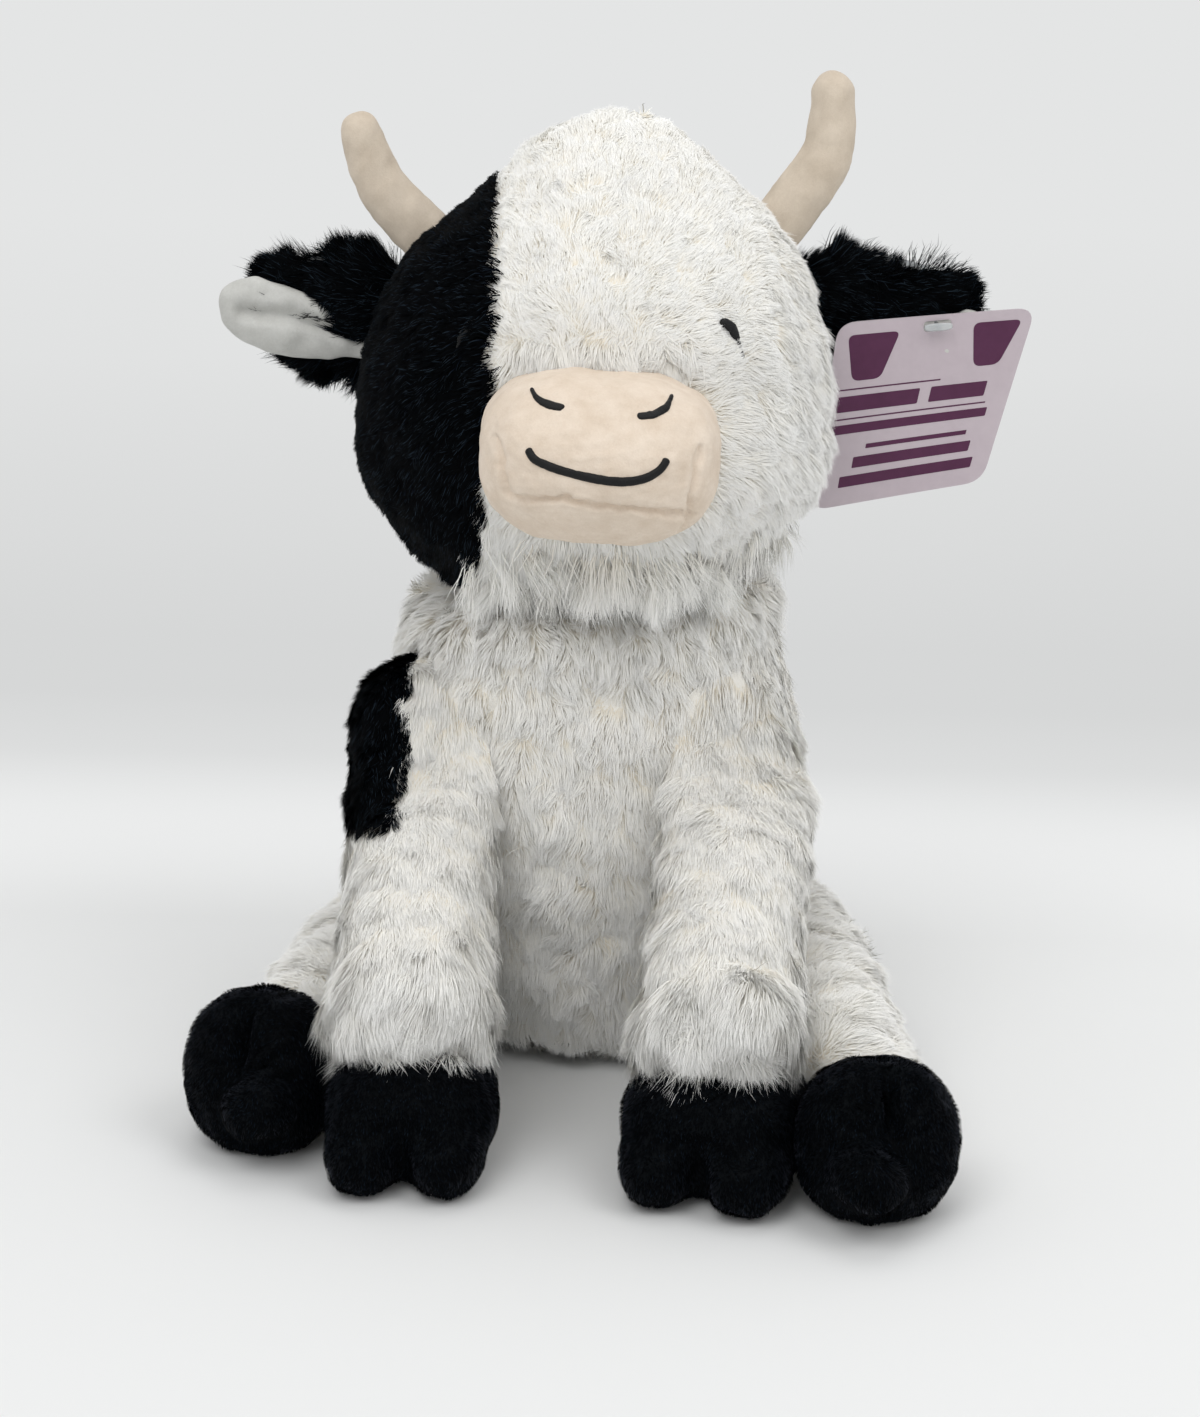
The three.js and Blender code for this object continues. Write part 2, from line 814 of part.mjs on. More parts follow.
const cow = new THREE.Group();
cow.add(
  ...torsoPieces(),
  headGroup,
  ...frontLegPieces(-1, "right"),
  ...frontLegPieces(1, "left"),
  ...hindLegPieces(-1, "right", hindRight, footRight),
  ...hindLegPieces(1, "left", hindLeft, footLeft),
  ...tailPieces(),
);

export default cow;
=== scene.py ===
import math

import bmesh
import bpy
import numpy as np
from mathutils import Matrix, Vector
from mathutils.bvhtree import BVHTree
from mathutils.kdtree import KDTree


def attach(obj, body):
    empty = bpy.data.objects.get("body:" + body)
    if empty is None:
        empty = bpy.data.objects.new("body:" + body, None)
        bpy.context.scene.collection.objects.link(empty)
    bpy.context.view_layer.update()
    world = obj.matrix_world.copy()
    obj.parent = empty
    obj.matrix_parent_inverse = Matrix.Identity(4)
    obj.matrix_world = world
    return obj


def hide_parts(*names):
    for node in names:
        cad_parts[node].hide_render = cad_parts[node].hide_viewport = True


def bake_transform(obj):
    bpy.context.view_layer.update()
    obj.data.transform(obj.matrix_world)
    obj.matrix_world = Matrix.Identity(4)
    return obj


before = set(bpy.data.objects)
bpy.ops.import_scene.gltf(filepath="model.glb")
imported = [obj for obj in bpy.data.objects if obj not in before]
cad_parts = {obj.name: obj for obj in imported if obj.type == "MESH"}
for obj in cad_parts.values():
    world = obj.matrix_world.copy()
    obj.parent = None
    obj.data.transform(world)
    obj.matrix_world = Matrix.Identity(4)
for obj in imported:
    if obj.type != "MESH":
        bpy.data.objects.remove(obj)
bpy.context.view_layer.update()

# Forms are worked out in millimetres and written to meshes in metres.
MM = 0.001
SIDES = ((-1, "right"), (1, "left"))
UP = np.array([0.0, 0.0, 1.0])

# ---- Stage: camera, lamps, floor ----
CAMERA_DISTANCE, CAMERA_HEIGHT = 0.905, 0.378
CAMERA_AZIMUTH, CAMERA_PITCH = math.radians(4.5), math.radians(17.0)
LENS, SENSOR = 48.56, 24.0
ROOM_LIGHT = 0.66
# name, place, aim, size, power
LAMPS = [
    ("key", (-0.45, -1.05, 1.65), (0, -0.02, 0.12), 1.2, 9.2),
    ("side", (1.0, -0.7, 1.4), (0, -0.02, 0.12), 1.0, 5.4),
    ("top", (0.1, 0.3, 2.0), (0, 0, 0.1), 1.2, 4.0),
]
FLOOR_HALF = 14.0
# The backdrop behind the cow, painted in as glowing light: share of 2 m back, and its painted brightness
PAINTED_BACKDROP_LIGHT = [
    (0.05, 250), (0.0875, 237), (0.106, 229), (0.127, 220), (0.17, 214), (0.22, 214), (0.32, 218), (0.6, 225),
    (1.0, 228),
]


def nodes_of(name):
    material = bpy.data.materials.new(name)
    material.use_nodes = True
    tree = material.node_tree
    return material, tree, tree.nodes["Principled BSDF"]


def add(tree, kind, *inputs, **values):
    """A node with its inputs in order, and its settings and socket values by name; a link is an output socket."""
    made = tree.nodes.new(kind)
    for key, value in [*enumerate(inputs), *values.items()]:
        key = key.replace("_", " ") if isinstance(key, str) and key[0].isupper() else key
        if isinstance(value, bpy.types.NodeSocket):
            tree.links.new(value, made.inputs[key])
        elif isinstance(key, int) or key in made.inputs:
            made.inputs[key].default_value = value
        else:
            setattr(made, key, value)
    return made


def spread(tree, value, low, high, start=0.0, end=1.0):
    """A value from start to end led to one from low to high."""
    made = add(tree, "ShaderNodeMapRange", Value=value, From_Min=start, From_Max=end, To_Min=low, To_Max=high)
    return made.outputs["Result"]


def maths(tree, operation, *inputs):
    return add(tree, "ShaderNodeMath", *inputs, operation=operation).outputs[0]


def linear(r, g, b):
    """Linear colour from 0-255 display values."""
    out = []
    for v in (r, g, b):
        v = v / 255
        out.append(v / 12.92 if v <= 0.04045 else ((v + 0.055) / 1.055) ** 2.4)
    return (*out, 1.0)


def ramp(tree, factor, *stops):
    """A colour along a value, from stops of a place and a 0-255 colour."""
    made = tree.nodes.new("ShaderNodeValToRGB")
    tree.links.new(factor, made.inputs["Fac"])
    elements = made.color_ramp.elements
    while len(elements) < len(stops):
        elements.new(0.5)
    for element, (place, colour) in zip(elements, stops):
        element.position = place
        element.color = linear(*colour)
    return made.outputs["Color"]


def mixed(tree, share, first, second, target):
    """Leads a mix of two shaders to a socket."""
    mix = add(tree, "ShaderNodeMixShader", share, first.outputs[0], second.outputs[0])
    tree.links.new(mix.outputs[0], target)


def stage():
    bpy.context.scene.view_settings.view_transform = "Standard"
    back = Vector((math.sin(CAMERA_AZIMUTH), -math.cos(CAMERA_AZIMUTH), 0))
    look = -back * math.cos(CAMERA_PITCH) - Vector(UP) * math.sin(CAMERA_PITCH)
    data = bpy.data.cameras.new("camera")
    data.sensor_fit, data.sensor_height, data.lens = "VERTICAL", SENSOR, LENS
    camera = bpy.data.objects.new("camera", data)
    camera.location = back * CAMERA_DISTANCE + Vector(UP) * CAMERA_HEIGHT
    camera.rotation_euler = look.to_track_quat("-Z", "Y").to_euler()
    bpy.context.scene.collection.objects.link(camera)
    bpy.context.scene.camera = camera

    for name, place, aim, size, power in LAMPS:
        lamp = bpy.data.lights.new(name, "AREA")
        lamp.shape, lamp.size, lamp.energy = "DISK", size, power
        held = bpy.data.objects.new(name, lamp)
        held.location = place
        held.rotation_euler = (Vector(aim) - Vector(place)).to_track_quat("-Z", "Y").to_euler()
        bpy.context.scene.collection.objects.link(held)

    world = bpy.data.worlds.new("room")
    world.use_nodes = True
    bpy.context.scene.world = world
    tree = world.node_tree
    background = tree.nodes["Background"]
    background.inputs["Color"].default_value = (1, 1, 1, 1)
    background.inputs["Strength"].default_value = ROOM_LIGHT
    shown = add(tree, "ShaderNodeBackground", Color=linear(227, 228, 228), Strength=1.0)
    rays = add(tree, "ShaderNodeLightPath")
    seen = maths(tree, "MAXIMUM", rays.outputs["Is Camera Ray"], rays.outputs["Is Transmission Ray"])
    mixed(tree, seen, background, shown, tree.nodes["World Output"].inputs["Surface"])

    mesh = bpy.data.meshes.new("floor")
    mesh.from_pydata(
        [(x * FLOOR_HALF, y * FLOOR_HALF, 0) for x, y in ((-1, -1), (1, -1), (1, 1), (-1, 1))],
        [],
        [(0, 1, 2, 3)],
    )
    floor = bpy.data.objects.new("floor", mesh)
    bpy.context.scene.collection.objects.link(floor)
    material, tree, shader = nodes_of("floor_paper")
    apart = add(tree, "ShaderNodeSeparateXYZ", add(tree, "ShaderNodeNewGeometry").outputs["Position"])
    tree.links.new(spread(tree, apart.outputs["X"], 0.78, 0.72, -3.0, 3.0), shader.inputs["Roughness"])
    shader.inputs["Base Color"].default_value = linear(235, 236, 236)
    shader.inputs["Specular IOR Level"].default_value = 0.1
    # Behind the cow the floor glows for camera rays with painted backdrop light: bright near the cow, dimmer a
    # little way back and lighter again far off
    away = spread(tree, apart.outputs["Y"], 0, 1, 0.0, 2.0)
    tone = ramp(tree, away, *((at, (v, v + 1, v + 1)) for at, v in PAINTED_BACKDROP_LIGHT))
    shown = add(tree, "ShaderNodeEmission", Color=tone, Strength=1.0)
    rays = add(tree, "ShaderNodeLightPath")
    seen = maths(tree, "MAXIMUM", rays.outputs["Is Camera Ray"], rays.outputs["Is Glossy Ray"])
    seen = maths(tree, "MAXIMUM", seen, rays.outputs["Is Transmission Ray"])
    share = maths(tree, "MULTIPLY", seen, spread(tree, apart.outputs["Y"], 0, 1, 0.06, 0.22))
    mixed(tree, share, shader, shown, tree.nodes["Material Output"].inputs["Surface"])
    mesh.materials.append(material)


# ---- Numbers and curves ----
def unit(v):
    return v / np.maximum(np.linalg.norm(v, axis=-1, keepdims=True), 1e-9)


def smooth(x, low, high):
    t = np.clip((x - low) / (high - low), 0, 1)
    return t * t * (3 - 2 * t)


def waves(points, size, seed):
    """A smooth random value of about -1 to 1 in space, whose features are about size mm across."""
    rng = np.random.default_rng(seed)
    total = np.zeros(len(points))
    weight = 0.0
    for octave in range(3):
        share = 0.6**octave
        for _ in range(5):
            k = unit(rng.normal(size=3)) * 2 * math.pi / (size / 1.7**octave) * rng.uniform(0.7, 1.3)
            total += share * np.sin(points @ k + rng.uniform(0, 2 * math.pi))
        weight += share * 1.6
    return total / weight


def wave_vectors(points, size, seed):
    return np.stack([waves(points, size, seed + i) for i in range(3)], 1)


class Route:
    """A smooth curve through points, measured by its length, as the CAD source draws it."""

    def __init__(self, points, steps=400):
        self.points = np.array(points, float)
        at = np.linspace(0, 1, steps + 1)
        self.line = np.array([self.raw(t) for t in at])
        runs = np.linalg.norm(np.diff(self.line, axis=0), axis=1)
        self.reach = np.concatenate([[0], np.cumsum(runs)])
        self.length = self.reach[-1]

    def raw(self, t):
        p, last = self.points, len(self.points) - 1
        i = min(int(last * t), last - 1)
        w = last * t - i
        p0 = p[i - 1] if i > 0 else 2 * p[0] - p[1]
        p1, p2 = p[i], p[i + 1]
        p3 = p[i + 2] if i + 2 <= last else 2 * p[last] - p[last - 1]
        d0, d1, d2 = (max(np.linalg.norm(b - a) ** 0.5, 1e-4) for a, b in ((p0, p1), (p1, p2), (p2, p3)))
        t1 = ((p1 - p0) / d0 - (p2 - p0) / (d0 + d1) + (p2 - p1) / d1) * d1
        t2 = ((p2 - p1) / d1 - (p3 - p1) / (d1 + d2) + (p3 - p2) / d2) * d1
        return p1 + t1 * w + (-3 * p1 + 3 * p2 - 2 * t1 - t2) * w**2 + (2 * p1 - 2 * p2 + t1 + t2) * w**3

    def at(self, t):
        want = np.asarray(t) * self.length
        return np.stack([np.interp(want, self.reach, self.line[:, i]) for i in range(3)], -1)

    def along(self, t):
        t = np.asarray(t)
        return unit(self.at(np.clip(t + 0.004, 0, 1)) - self.at(np.clip(t - 0.004, 0, 1)))


def swell(shares, t):
    s = np.asarray(shares, float)
    last = len(s) - 1
    i = np.minimum((last * t).astype(int), last - 1)
    w = last * t - i
    p0, p1, p2 = s[np.maximum(i - 1, 0)], s[i], s[i + 1]
    p3 = s[np.minimum(i + 2, last)]
    v0, v1 = (p2 - p0) / 2, (p3 - p1) / 2
    return (2 * p1 - 2 * p2 + v0 + v1) * w**3 + (-3 * p1 + 3 * p2 - 2 * v0 - v1) * w**2 + v0 * w + p1


def opened(distance, length):
    return np.sqrt(1 - (1 - np.minimum(1, distance / length)) ** 2)


def ball_faces(rings, sides, turned=False):
    """Faces of a form with a pole at each end and rings of corners between; turned ones face the other way."""

    def at(ring, side):
        return 1 + (ring - 1) * sides + side % sides

    last = 1 + (rings - 1) * sides
    faces = [(0, at(1, s + 1), at(1, s)) for s in range(sides)]
    for r in range(1, rings - 1):
        faces += [(at(r, s), at(r, s + 1), at(r + 1, s + 1), at(r + 1, s)) for s in range(sides)]
    faces += [(last, at(rings - 1, s), at(rings - 1, s + 1)) for s in range(sides)]
    return [(f[0], *reversed(f[1:])) for f in faces] if turned else faces


def closed_shell(faces, count):
    """An outer sheet of faces with its back, whose corners follow count later, and the rim between them."""
    edges = {(a, b) for f in faces for a, b in zip(f, f[1:] + f[:1])}
    rim = [(a, b) for a, b in edges if (b, a) not in edges]
    back = [tuple(i + count for i in reversed(f)) for f in faces]
    return faces + back + [(b, a, a + count, b + count) for a, b in rim]


class Skin:
    """A closed surface in mm: corners, faces, and what the pile on it needs."""

    def __init__(self, corners, faces):
        self.co = np.array(corners, float)
        self.faces = faces

    def triangles(self):
        out = []
        for f in self.faces:
            for i in range(1, len(f) - 1):
                out.append((f[0], f[i], f[i + 1]))
        return np.array(out)

    def normals(self):
        tri = self.triangles()
        a, b, c = (self.co[tri[:, i]] for i in range(3))
        cross = np.cross(b - a, c - a)
        total = np.zeros_like(self.co)
        for i in range(3):
            np.add.at(total, tri[:, i], cross)
        return unit(total)

    def bvh(self):
        return BVHTree.FromPolygons([Vector(c) for c in self.co], self.faces)

    def swelled(self, amount):
        self.co += self.normals() * np.asarray(amount).reshape(-1, 1)
        return self

    def copy(self):
        return Skin(self.co, self.faces)


def stuffed(path, radius, shares, caps, broad, flat=1.0, sides=72, rings=56, grow=0.0):
    """The CAD source's stuffed form along a curve, with more faces."""
    route = Route(path)
    t = (1 - np.cos(np.pi * np.arange(rings + 1) / rings)) / 2
    along = route.along(t)
    centre = route.at(t) + along * (grow * (2 * t - 1))[:, None]
    wide = unit(np.array(broad, float) - along * (along @ np.array(broad, float))[:, None])
    thin = np.cross(along, wide)
    cap = opened(t * route.length, caps[0]) * opened((1 - t) * route.length, caps[1])
    size = radius * swell(shares, t) * cap
    turn = 2 * np.pi * np.arange(sides) / sides
    body = (
        centre[1:-1, None]
        + wide[1:-1, None] * ((size[1:-1] + grow)[:, None] * np.cos(turn))[..., None]
        + thin[1:-1, None] * ((size[1:-1] * flat + grow)[:, None] * np.sin(turn))[..., None]
    )
    corners = np.concatenate([centre[:1], body.reshape(-1, 3), centre[-1:]])
    skin = Skin(corners, ball_faces(rings, sides))
    skin.t = np.concatenate([[0], np.repeat(t[1:-1], sides), [1]])
    skin.route = route
    return skin


def pad(width, depth, height, box, sides=72, rings=48):
    """The CAD source's pad between a ball and a box, with more faces."""
    corners = []
    for r in range(rings + 1):
        polar = math.pi * r / rings
        for s in range(1 if r in (0, rings) else sides):
            turn = 2 * math.pi * s / sides
            v = np.array([math.sin(polar) * math.cos(turn), math.sin(polar) * math.sin(turn), math.cos(polar)])
            reach = (np.abs(v) ** box).sum() ** (-1 / box) / 2
            corners.append(v * reach * (width, depth, height))
    return Skin(corners, ball_faces(rings, sides, turned=True))


def turned_about(co, degrees, axis, centre=(0, 0, 0)):
    """Points turned about an axis, 0 for X, 1 for Y or 2 for Z, through a centre."""
    a = math.radians(degrees)
    c, s = math.cos(a), math.sin(a)
    i, j = [(1, 2), (2, 0), (0, 1)][axis]
    out = np.array(co, float) - centre
    p, q = out[:, i].copy(), out[:, j].copy()
    out[:, i], out[:, j] = p * c - q * s, p * s + q * c
    return out + centre


def joined(*skins):
    corners, faces, base = [], [], 0
    for s in skins:
        corners.append(s.co)
        faces += [tuple(i + base for i in f) for f in s.faces]
        base += len(s.co)
    return Skin(np.concatenate(corners), faces)


def fused(skin, voxel, rounds):
    """One closed surface around overlapping ones, with its creases softened."""
    mesh = bpy.data.meshes.new("fused")
    mesh.from_pydata([tuple(c) for c in skin.co * MM], [], skin.faces)
    held = bpy.data.objects.new("fused", mesh)
    bpy.context.scene.collection.objects.link(held)
    remesh = held.modifiers.new("remesh", "REMESH")
    remesh.mode, remesh.voxel_size = "VOXEL", voxel * MM
    soft = held.modifiers.new("soft", "SMOOTH")
    soft.factor, soft.iterations = 0.5, rounds
    done = held.evaluated_get(bpy.context.evaluated_depsgraph_get()).to_mesh()
    corners = np.empty(len(done.vertices) * 3)
    done.vertices.foreach_get("co", corners)
    faces = [tuple(p.vertices) for p in done.polygons]
    held.to_mesh_clear()
    bpy.data.objects.remove(held)
    bpy.data.meshes.remove(mesh)
    return Skin(corners.reshape(-1, 3) / MM, faces)


def nearest(tree, points):
    """Signed distance to a surface, the nearest point on it and its normal."""
    spots, normals, far = np.empty((len(points), 3)), np.empty((len(points), 3)), np.empty(len(points))
    for i, p in enumerate(points):
        spot, normal, _, distance = tree.find_nearest(Vector(p))
        spots[i], normals[i] = spot, normal
        far[i] = distance if (Vector(p) - spot).dot(normal) >= 0 else -distance
    return far, spots, normals


def kept_out(skin, other, gap):
    """Corners inside another surface, or nearer than gap, move out to gap from it."""
    low, high = other.co.min(0) - gap, other.co.max(0) + gap
    near = np.where(((skin.co > low) & (skin.co < high)).all(1))[0]
    if len(near):
        far, spots, normals = nearest(other.bvh(), skin.co[near])
        hit = far < gap
        skin.co[near[hit]] = spots[hit] + normals[hit] * gap


def covered(skin, *others, depth=1.5, reach=1.0):
    """From 0 in the open to 1 where a corner lies inside another surface, or close against it."""
    hidden = np.zeros(len(skin.co))
    for other in others:
        low, high = other.co.min(0) - reach, other.co.max(0) + reach
        near = np.where(((skin.co > low) & (skin.co < high)).all(1))[0]
        if len(near):
            far, _, _ = nearest(other.bvh(), skin.co[near])
            hidden[near] = np.maximum(hidden[near], np.clip((reach - far) / depth, 0, 1))
    return hidden


# ---- Objects ----
def placed(name, mesh, body):
    """A mesh as a piece that rides on one body; given instead two body names, a start and an end, it stays where
    it stands and rides on neither.
    """
    made = bpy.data.objects.new(name, mesh)
    bpy.context.scene.collection.objects.link(made)
    if isinstance(body, str):
        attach(made, body)
    else:
        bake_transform(made)
    return made


def piece(name, body, skin, material, slot, replaces=(), fill=None, flat=False):
    mesh = bpy.data.meshes.new(name)
    mesh.from_pydata([tuple(c) for c in skin.co * MM], [], skin.faces)
    mesh.materials.append(material)
    mesh.polygons.foreach_set("use_smooth", [not flat] * len(mesh.polygons))
    mesh.validate()
    made = placed(name, mesh, body)
    if replaces:
        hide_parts(*replaces)


# Pile: every strand is a flat, tapering ribbon. A long one bends at two places, a plain one at one.
LONG_STRAND = (np.array([0.0, 0.38, 0.74, 1.0]), np.array([0.8, 1.0, 0.62]))
PLAIN_STRAND = (np.array([0.0, 0.52, 1.0]), np.array([0.9, 0.85]))
STRANDS = 64000  # in one layer of a large pile: more plain strands than this would be thinned in the STL files
SAG = 0.12  # of a strand's length, back towards the skin at its tip


def pile(name, body, skin, material, count, length, width, lift, clump, seed,
         comb, weight=None, shares=None, pull=0.5, wander=0.4, droop=0.0, floor=0.15,
         soften=0.9, strand=PLAIN_STRAND, layers=1, curl=0.4, hold_off=None):
    """Strands on a skin, gathered in tufts about clump mm apart; count of them in each of the layers.
    comb gives each corner's direction, lift how far a strand stands up from it, shares its share of the length."""
    rng = np.random.default_rng(seed)
    tri = skin.triangles()
    normal = skin.normals()
    a, b, c = (skin.co[tri[:, i]] for i in range(3))
    area = np.linalg.norm(np.cross(b - a, c - a), axis=1) / 2
    full = area if weight is None else area * weight[tri].mean(1)
    comb = comb - normal * (comb * normal).sum(1)[:, None]
    ones = np.ones(len(skin.co))
    traits = np.stack([ones if shares is None else shares, ones * lift], 1)

    def scatter(number):
        picked = np.searchsorted(np.cumsum(full) / full.sum(), rng.random(number))
        picked = np.minimum(picked, len(tri) - 1)
        u, v = rng.random(number), rng.random(number)
        flip = u + v > 1
        u[flip], v[flip] = 1 - u[flip], 1 - v[flip]
        mix = np.stack([1 - u - v, u, v], 1)[..., None]
        corners = tri[picked]
        where = (skin.co[corners] * mix).sum(1)
        up = unit((normal[corners] * mix).sum(1))
        way = (comb[corners] * mix).sum(1)
        share, stand = (traits[corners] * mix).sum(1).T
        return where, up, way, share, stand

    tufts = max(8, int(full.sum() / clump**2))
    centre, centre_up, centre_way, centre_share, centre_stand = scatter(tufts)
    heap = KDTree(tufts)
    for i, p in enumerate(centre):
        heap.insert(p, i)
    heap.balance()

    def heading(where, up, way, stand, scale):
        loose = wave_vectors(where, 16, seed + 40) * wander + rng.normal(size=where.shape) * scale
        loose -= up * (loose * up).sum(1)[:, None] * 0.6
        raised = stand * (1 + 0.35 * waves(where, 14, seed + 50))
        level = np.sqrt(np.maximum(1 - raised**2, 0.04))
        return unit(unit(way + loose) * level[:, None] + up * raised[:, None])

    tuft_way = heading(centre, centre_up, centre_way, centre_stand, 0.32)
    tuft_long = length * centre_share * rng.uniform(0.8, 1.2, tufts)
    tip_bend = np.array([0, 0, -1.0]) * droop
    for layer in range(layers):
        rng = np.random.default_rng(seed + 1000 * layer)
        root, up, way, share, stand = scatter(count)
        owner = np.array([heap.find(p)[1] for p in root])
        own_way = heading(root, up, way, stand, 0.2)
        long = length * share * rng.uniform(0.75, 1.1, count) * (1 + 0.18 * waves(root, 11, seed + 60))
        strands(
            name if layers == 1 else f"{name}_{layer + 1}", body, material, rng, seed, strand, width, soften,
            (root, up, own_way, long), (centre[owner], centre_up[owner], tuft_way[owner], tuft_long[owner]),
            pull, tip_bend, curl, floor, hold_off,
        )


def strands(name, body, material, rng, seed, strand, width, soften, own, tufts, pull, tip_bend, curl, floor,
            hold_off):
    """The ribbons of one layer; own and tufts each hold places, normals, directions and lengths."""
    root, up, own_way, long = own
    centre, centre_up, tuft_way, tuft_long = tufts
    count = len(root)
    stations, widths = strand
    steps = len(stations)
    spots = np.empty((count, steps, 3))
    hold = pull * rng.uniform(0.55, 1.15, count)
    for i, s in enumerate(stations):
        bend = tip_bend * s * s * 0.5
        mine = root + long[:, None] * (own_way * s + bend - up * SAG * s * s)
        theirs = centre + tuft_long[:, None] * (tuft_way * s + bend - centre_up * SAG * s * s)
        keep = (root - centre) * (1 - 0.75 * s)
        spots[:, i] = mine + (theirs + keep - mine) * (hold * s**1.3)[:, None]
        if i:
            spots[:, i] += wave_vectors(spots[:, i], 5.0, seed + 70) * (curl * s)
            if hold_off is not None:
                spots[:, i] = hold_off(spots[:, i])
    ends = unit(spots[:, -1] - spots[:, 0])
    across = unit(np.cross(ends, up))
    tilt = rng.uniform(-0.3, 0.3, count)[:, None]
    across = unit(across * np.cos(tilt) + np.cross(ends, across) * np.sin(tilt))
    half = width / 2 * rng.uniform(0.7, 1.3, count)
    each = 2 * steps - 1
    corners = np.empty((count, each, 3))
    for i in range(steps - 1):
        step = across * (half * widths[i])[:, None]
        corners[:, 2 * i] = spots[:, i] - step
        corners[:, 2 * i + 1] = spots[:, i] + step
    corners[:, -1] = spots[:, -1]
    corners[..., 2] = np.maximum(corners[..., 2], floor)
    ribbon = [k for i in range(steps - 2) for k in (2 * i, 2 * i + 1, 2 * i + 3, 2 * i + 2)]
    ribbon += [each - 3, each - 2, each - 1]
    loops = ((np.arange(count) * each)[:, None] + np.array([ribbon])).ravel()
    starts = ((np.arange(count) * len(ribbon))[:, None] + np.arange(steps - 1)[None] * 4).ravel()

    mesh = bpy.data.meshes.new(name)
    mesh.vertices.add(count * each)
    mesh.vertices.foreach_set("co", (corners * MM).ravel())
    mesh.loops.add(len(loops))
    mesh.loops.foreach_set("vertex_index", loops.astype(np.int32))
    mesh.polygons.add(len(starts))
    mesh.polygons.foreach_set("loop_start", starts.astype(np.int32))
    mesh.update(calc_edges=True)
    mesh.polygons.foreach_set("use_smooth", np.ones(len(starts), bool))
    # The strand maps hold each strand's tone across and its height upward; the height sets the painted shade
    # towards the root.
    tone = rng.uniform(0.0, 0.94, count)[:, None] + np.array([0, 0.05] * (steps - 1) + [0.025])
    rise = np.repeat(np.clip(stations, 0.01, 0.99), 2)[:each]
    rise = np.broadcast_to(rise, (count, each))
    spot = np.stack([tone, rise], -1).reshape(-1, 2)[loops]
    for map_name in ("Strand", "OFBake"):
        layer = mesh.uv_layers.new(name=map_name)
        layer.uv.foreach_set("vector", spot.astype(np.float32).ravel())
    flat = np.cross(across, ends)
    flat *= np.sign((flat * up).sum(1))[:, None] + 1e-9
    shade = unit(up * soften + flat * (1 - soften))
    mesh.normals_split_custom_set_from_vertices(np.repeat(shade, each, axis=0))
    mesh.materials.append(material)
    placed(name, mesh, body)


# ---- Materials ----
WHITE = (1, 1, 1, 1)


def finish(tree, shader, value, smoothest, roughest, specular, sheen=0.0, sheen_rough=0.5, tint=WHITE):
    tree.links.new(spread(tree, value, smoothest, min(roughest, 1)), shader.inputs["Roughness"])
    for socket, setting in (
        ("Specular IOR Level", specular), ("Sheen Weight", sheen), ("Sheen Roughness", sheen_rough),
        ("Sheen Tint", tint),
    ):
        shader.inputs[socket].default_value = setting


def strand_material(
    name, root, middle, tip, rough, specular, sheen=0.0, tint=WHITE, range_of_tones=0.5, painted_glint=1.0
):
    material, tree, shader = nodes_of(name)
    where = add(tree, "ShaderNodeUVMap", uv_map="Strand").outputs["UV"]
    apart = add(tree, "ShaderNodeSeparateXYZ", Vector=where)
    # Each strand runs from a darker, warmer root to a lighter tip: painted shade deep in the pile
    colour = ramp(tree, apart.outputs["Y"], (0.0, root), (0.4, middle), (0.9, tip))
    # A few strands in a dark pile get a painted highlight, as if they caught more light than the rest
    tone = maths(
        tree, "ADD", spread(tree, apart.outputs["X"], 1 - range_of_tones, 1 + range_of_tones / 3),
        spread(tree, apart.outputs["X"], 0, painted_glint - 1, 0.84, 0.94),
    )
    shaded = add(tree, "ShaderNodeVectorMath", colour, operation="SCALE")
    tree.links.new(tone, shaded.inputs["Scale"])
    tree.links.new(shaded.outputs["Vector"], shader.inputs["Base Color"])
    finish(tree, shader, apart.outputs["X"], rough - 0.12, rough + 0.1, specular, sheen, 0.5, tint)
    return material


def cloth_material(name, dark, light, scale, bump, rough, sheen=0.0, tint=WHITE, depth=0.0004, specular=0.25):
    """Short-napped or knitted cloth: a mottled colour, a fine nap and a soft sheen."""
    material, tree, shader = nodes_of(name)
    place = add(tree, "ShaderNodeTexCoord").outputs["Object"]
    broad = add(tree, "ShaderNodeTexNoise", Vector=place, Scale=scale / 14, Detail=3.0, Roughness=0.6)
    fine = add(tree, "ShaderNodeTexNoise", Vector=place, Scale=scale, Detail=2.0, Roughness=0.7)
    both = maths(tree, "MULTIPLY_ADD", fine.outputs["Fac"], 0.45, broad.outputs["Fac"])
    tree.links.new(ramp(tree, both, (0.45, dark), (0.95, light)), shader.inputs["Base Color"])
    knit = add(tree, "ShaderNodeBump", Height=fine.outputs["Fac"], Strength=bump, Distance=depth)
    tree.links.new(knit.outputs["Normal"], shader.inputs["Normal"])
    finish(tree, shader, fine.outputs["Fac"], rough - 0.1, rough + 0.1, specular, sheen, 0.4, tint)
    return material


def hard_material(name, dark, light, scale, rough, transmission=0.0):
    material, tree, shader = nodes_of(name)
    place = add(tree, "ShaderNodeTexCoord").outputs["Object"]
    noise = add(tree, "ShaderNodeTexNoise", Vector=place, Scale=scale, Detail=2.0)
    tree.links.new(ramp(tree, noise.outputs["Fac"], (0.3, dark), (0.7, light)), shader.inputs["Base Color"])
    finish(tree, shader, noise.outputs["Fac"], rough - 0.05, rough + 0.08, 0.5)
    shader.inputs["Transmission Weight"].default_value = transmission
    return material


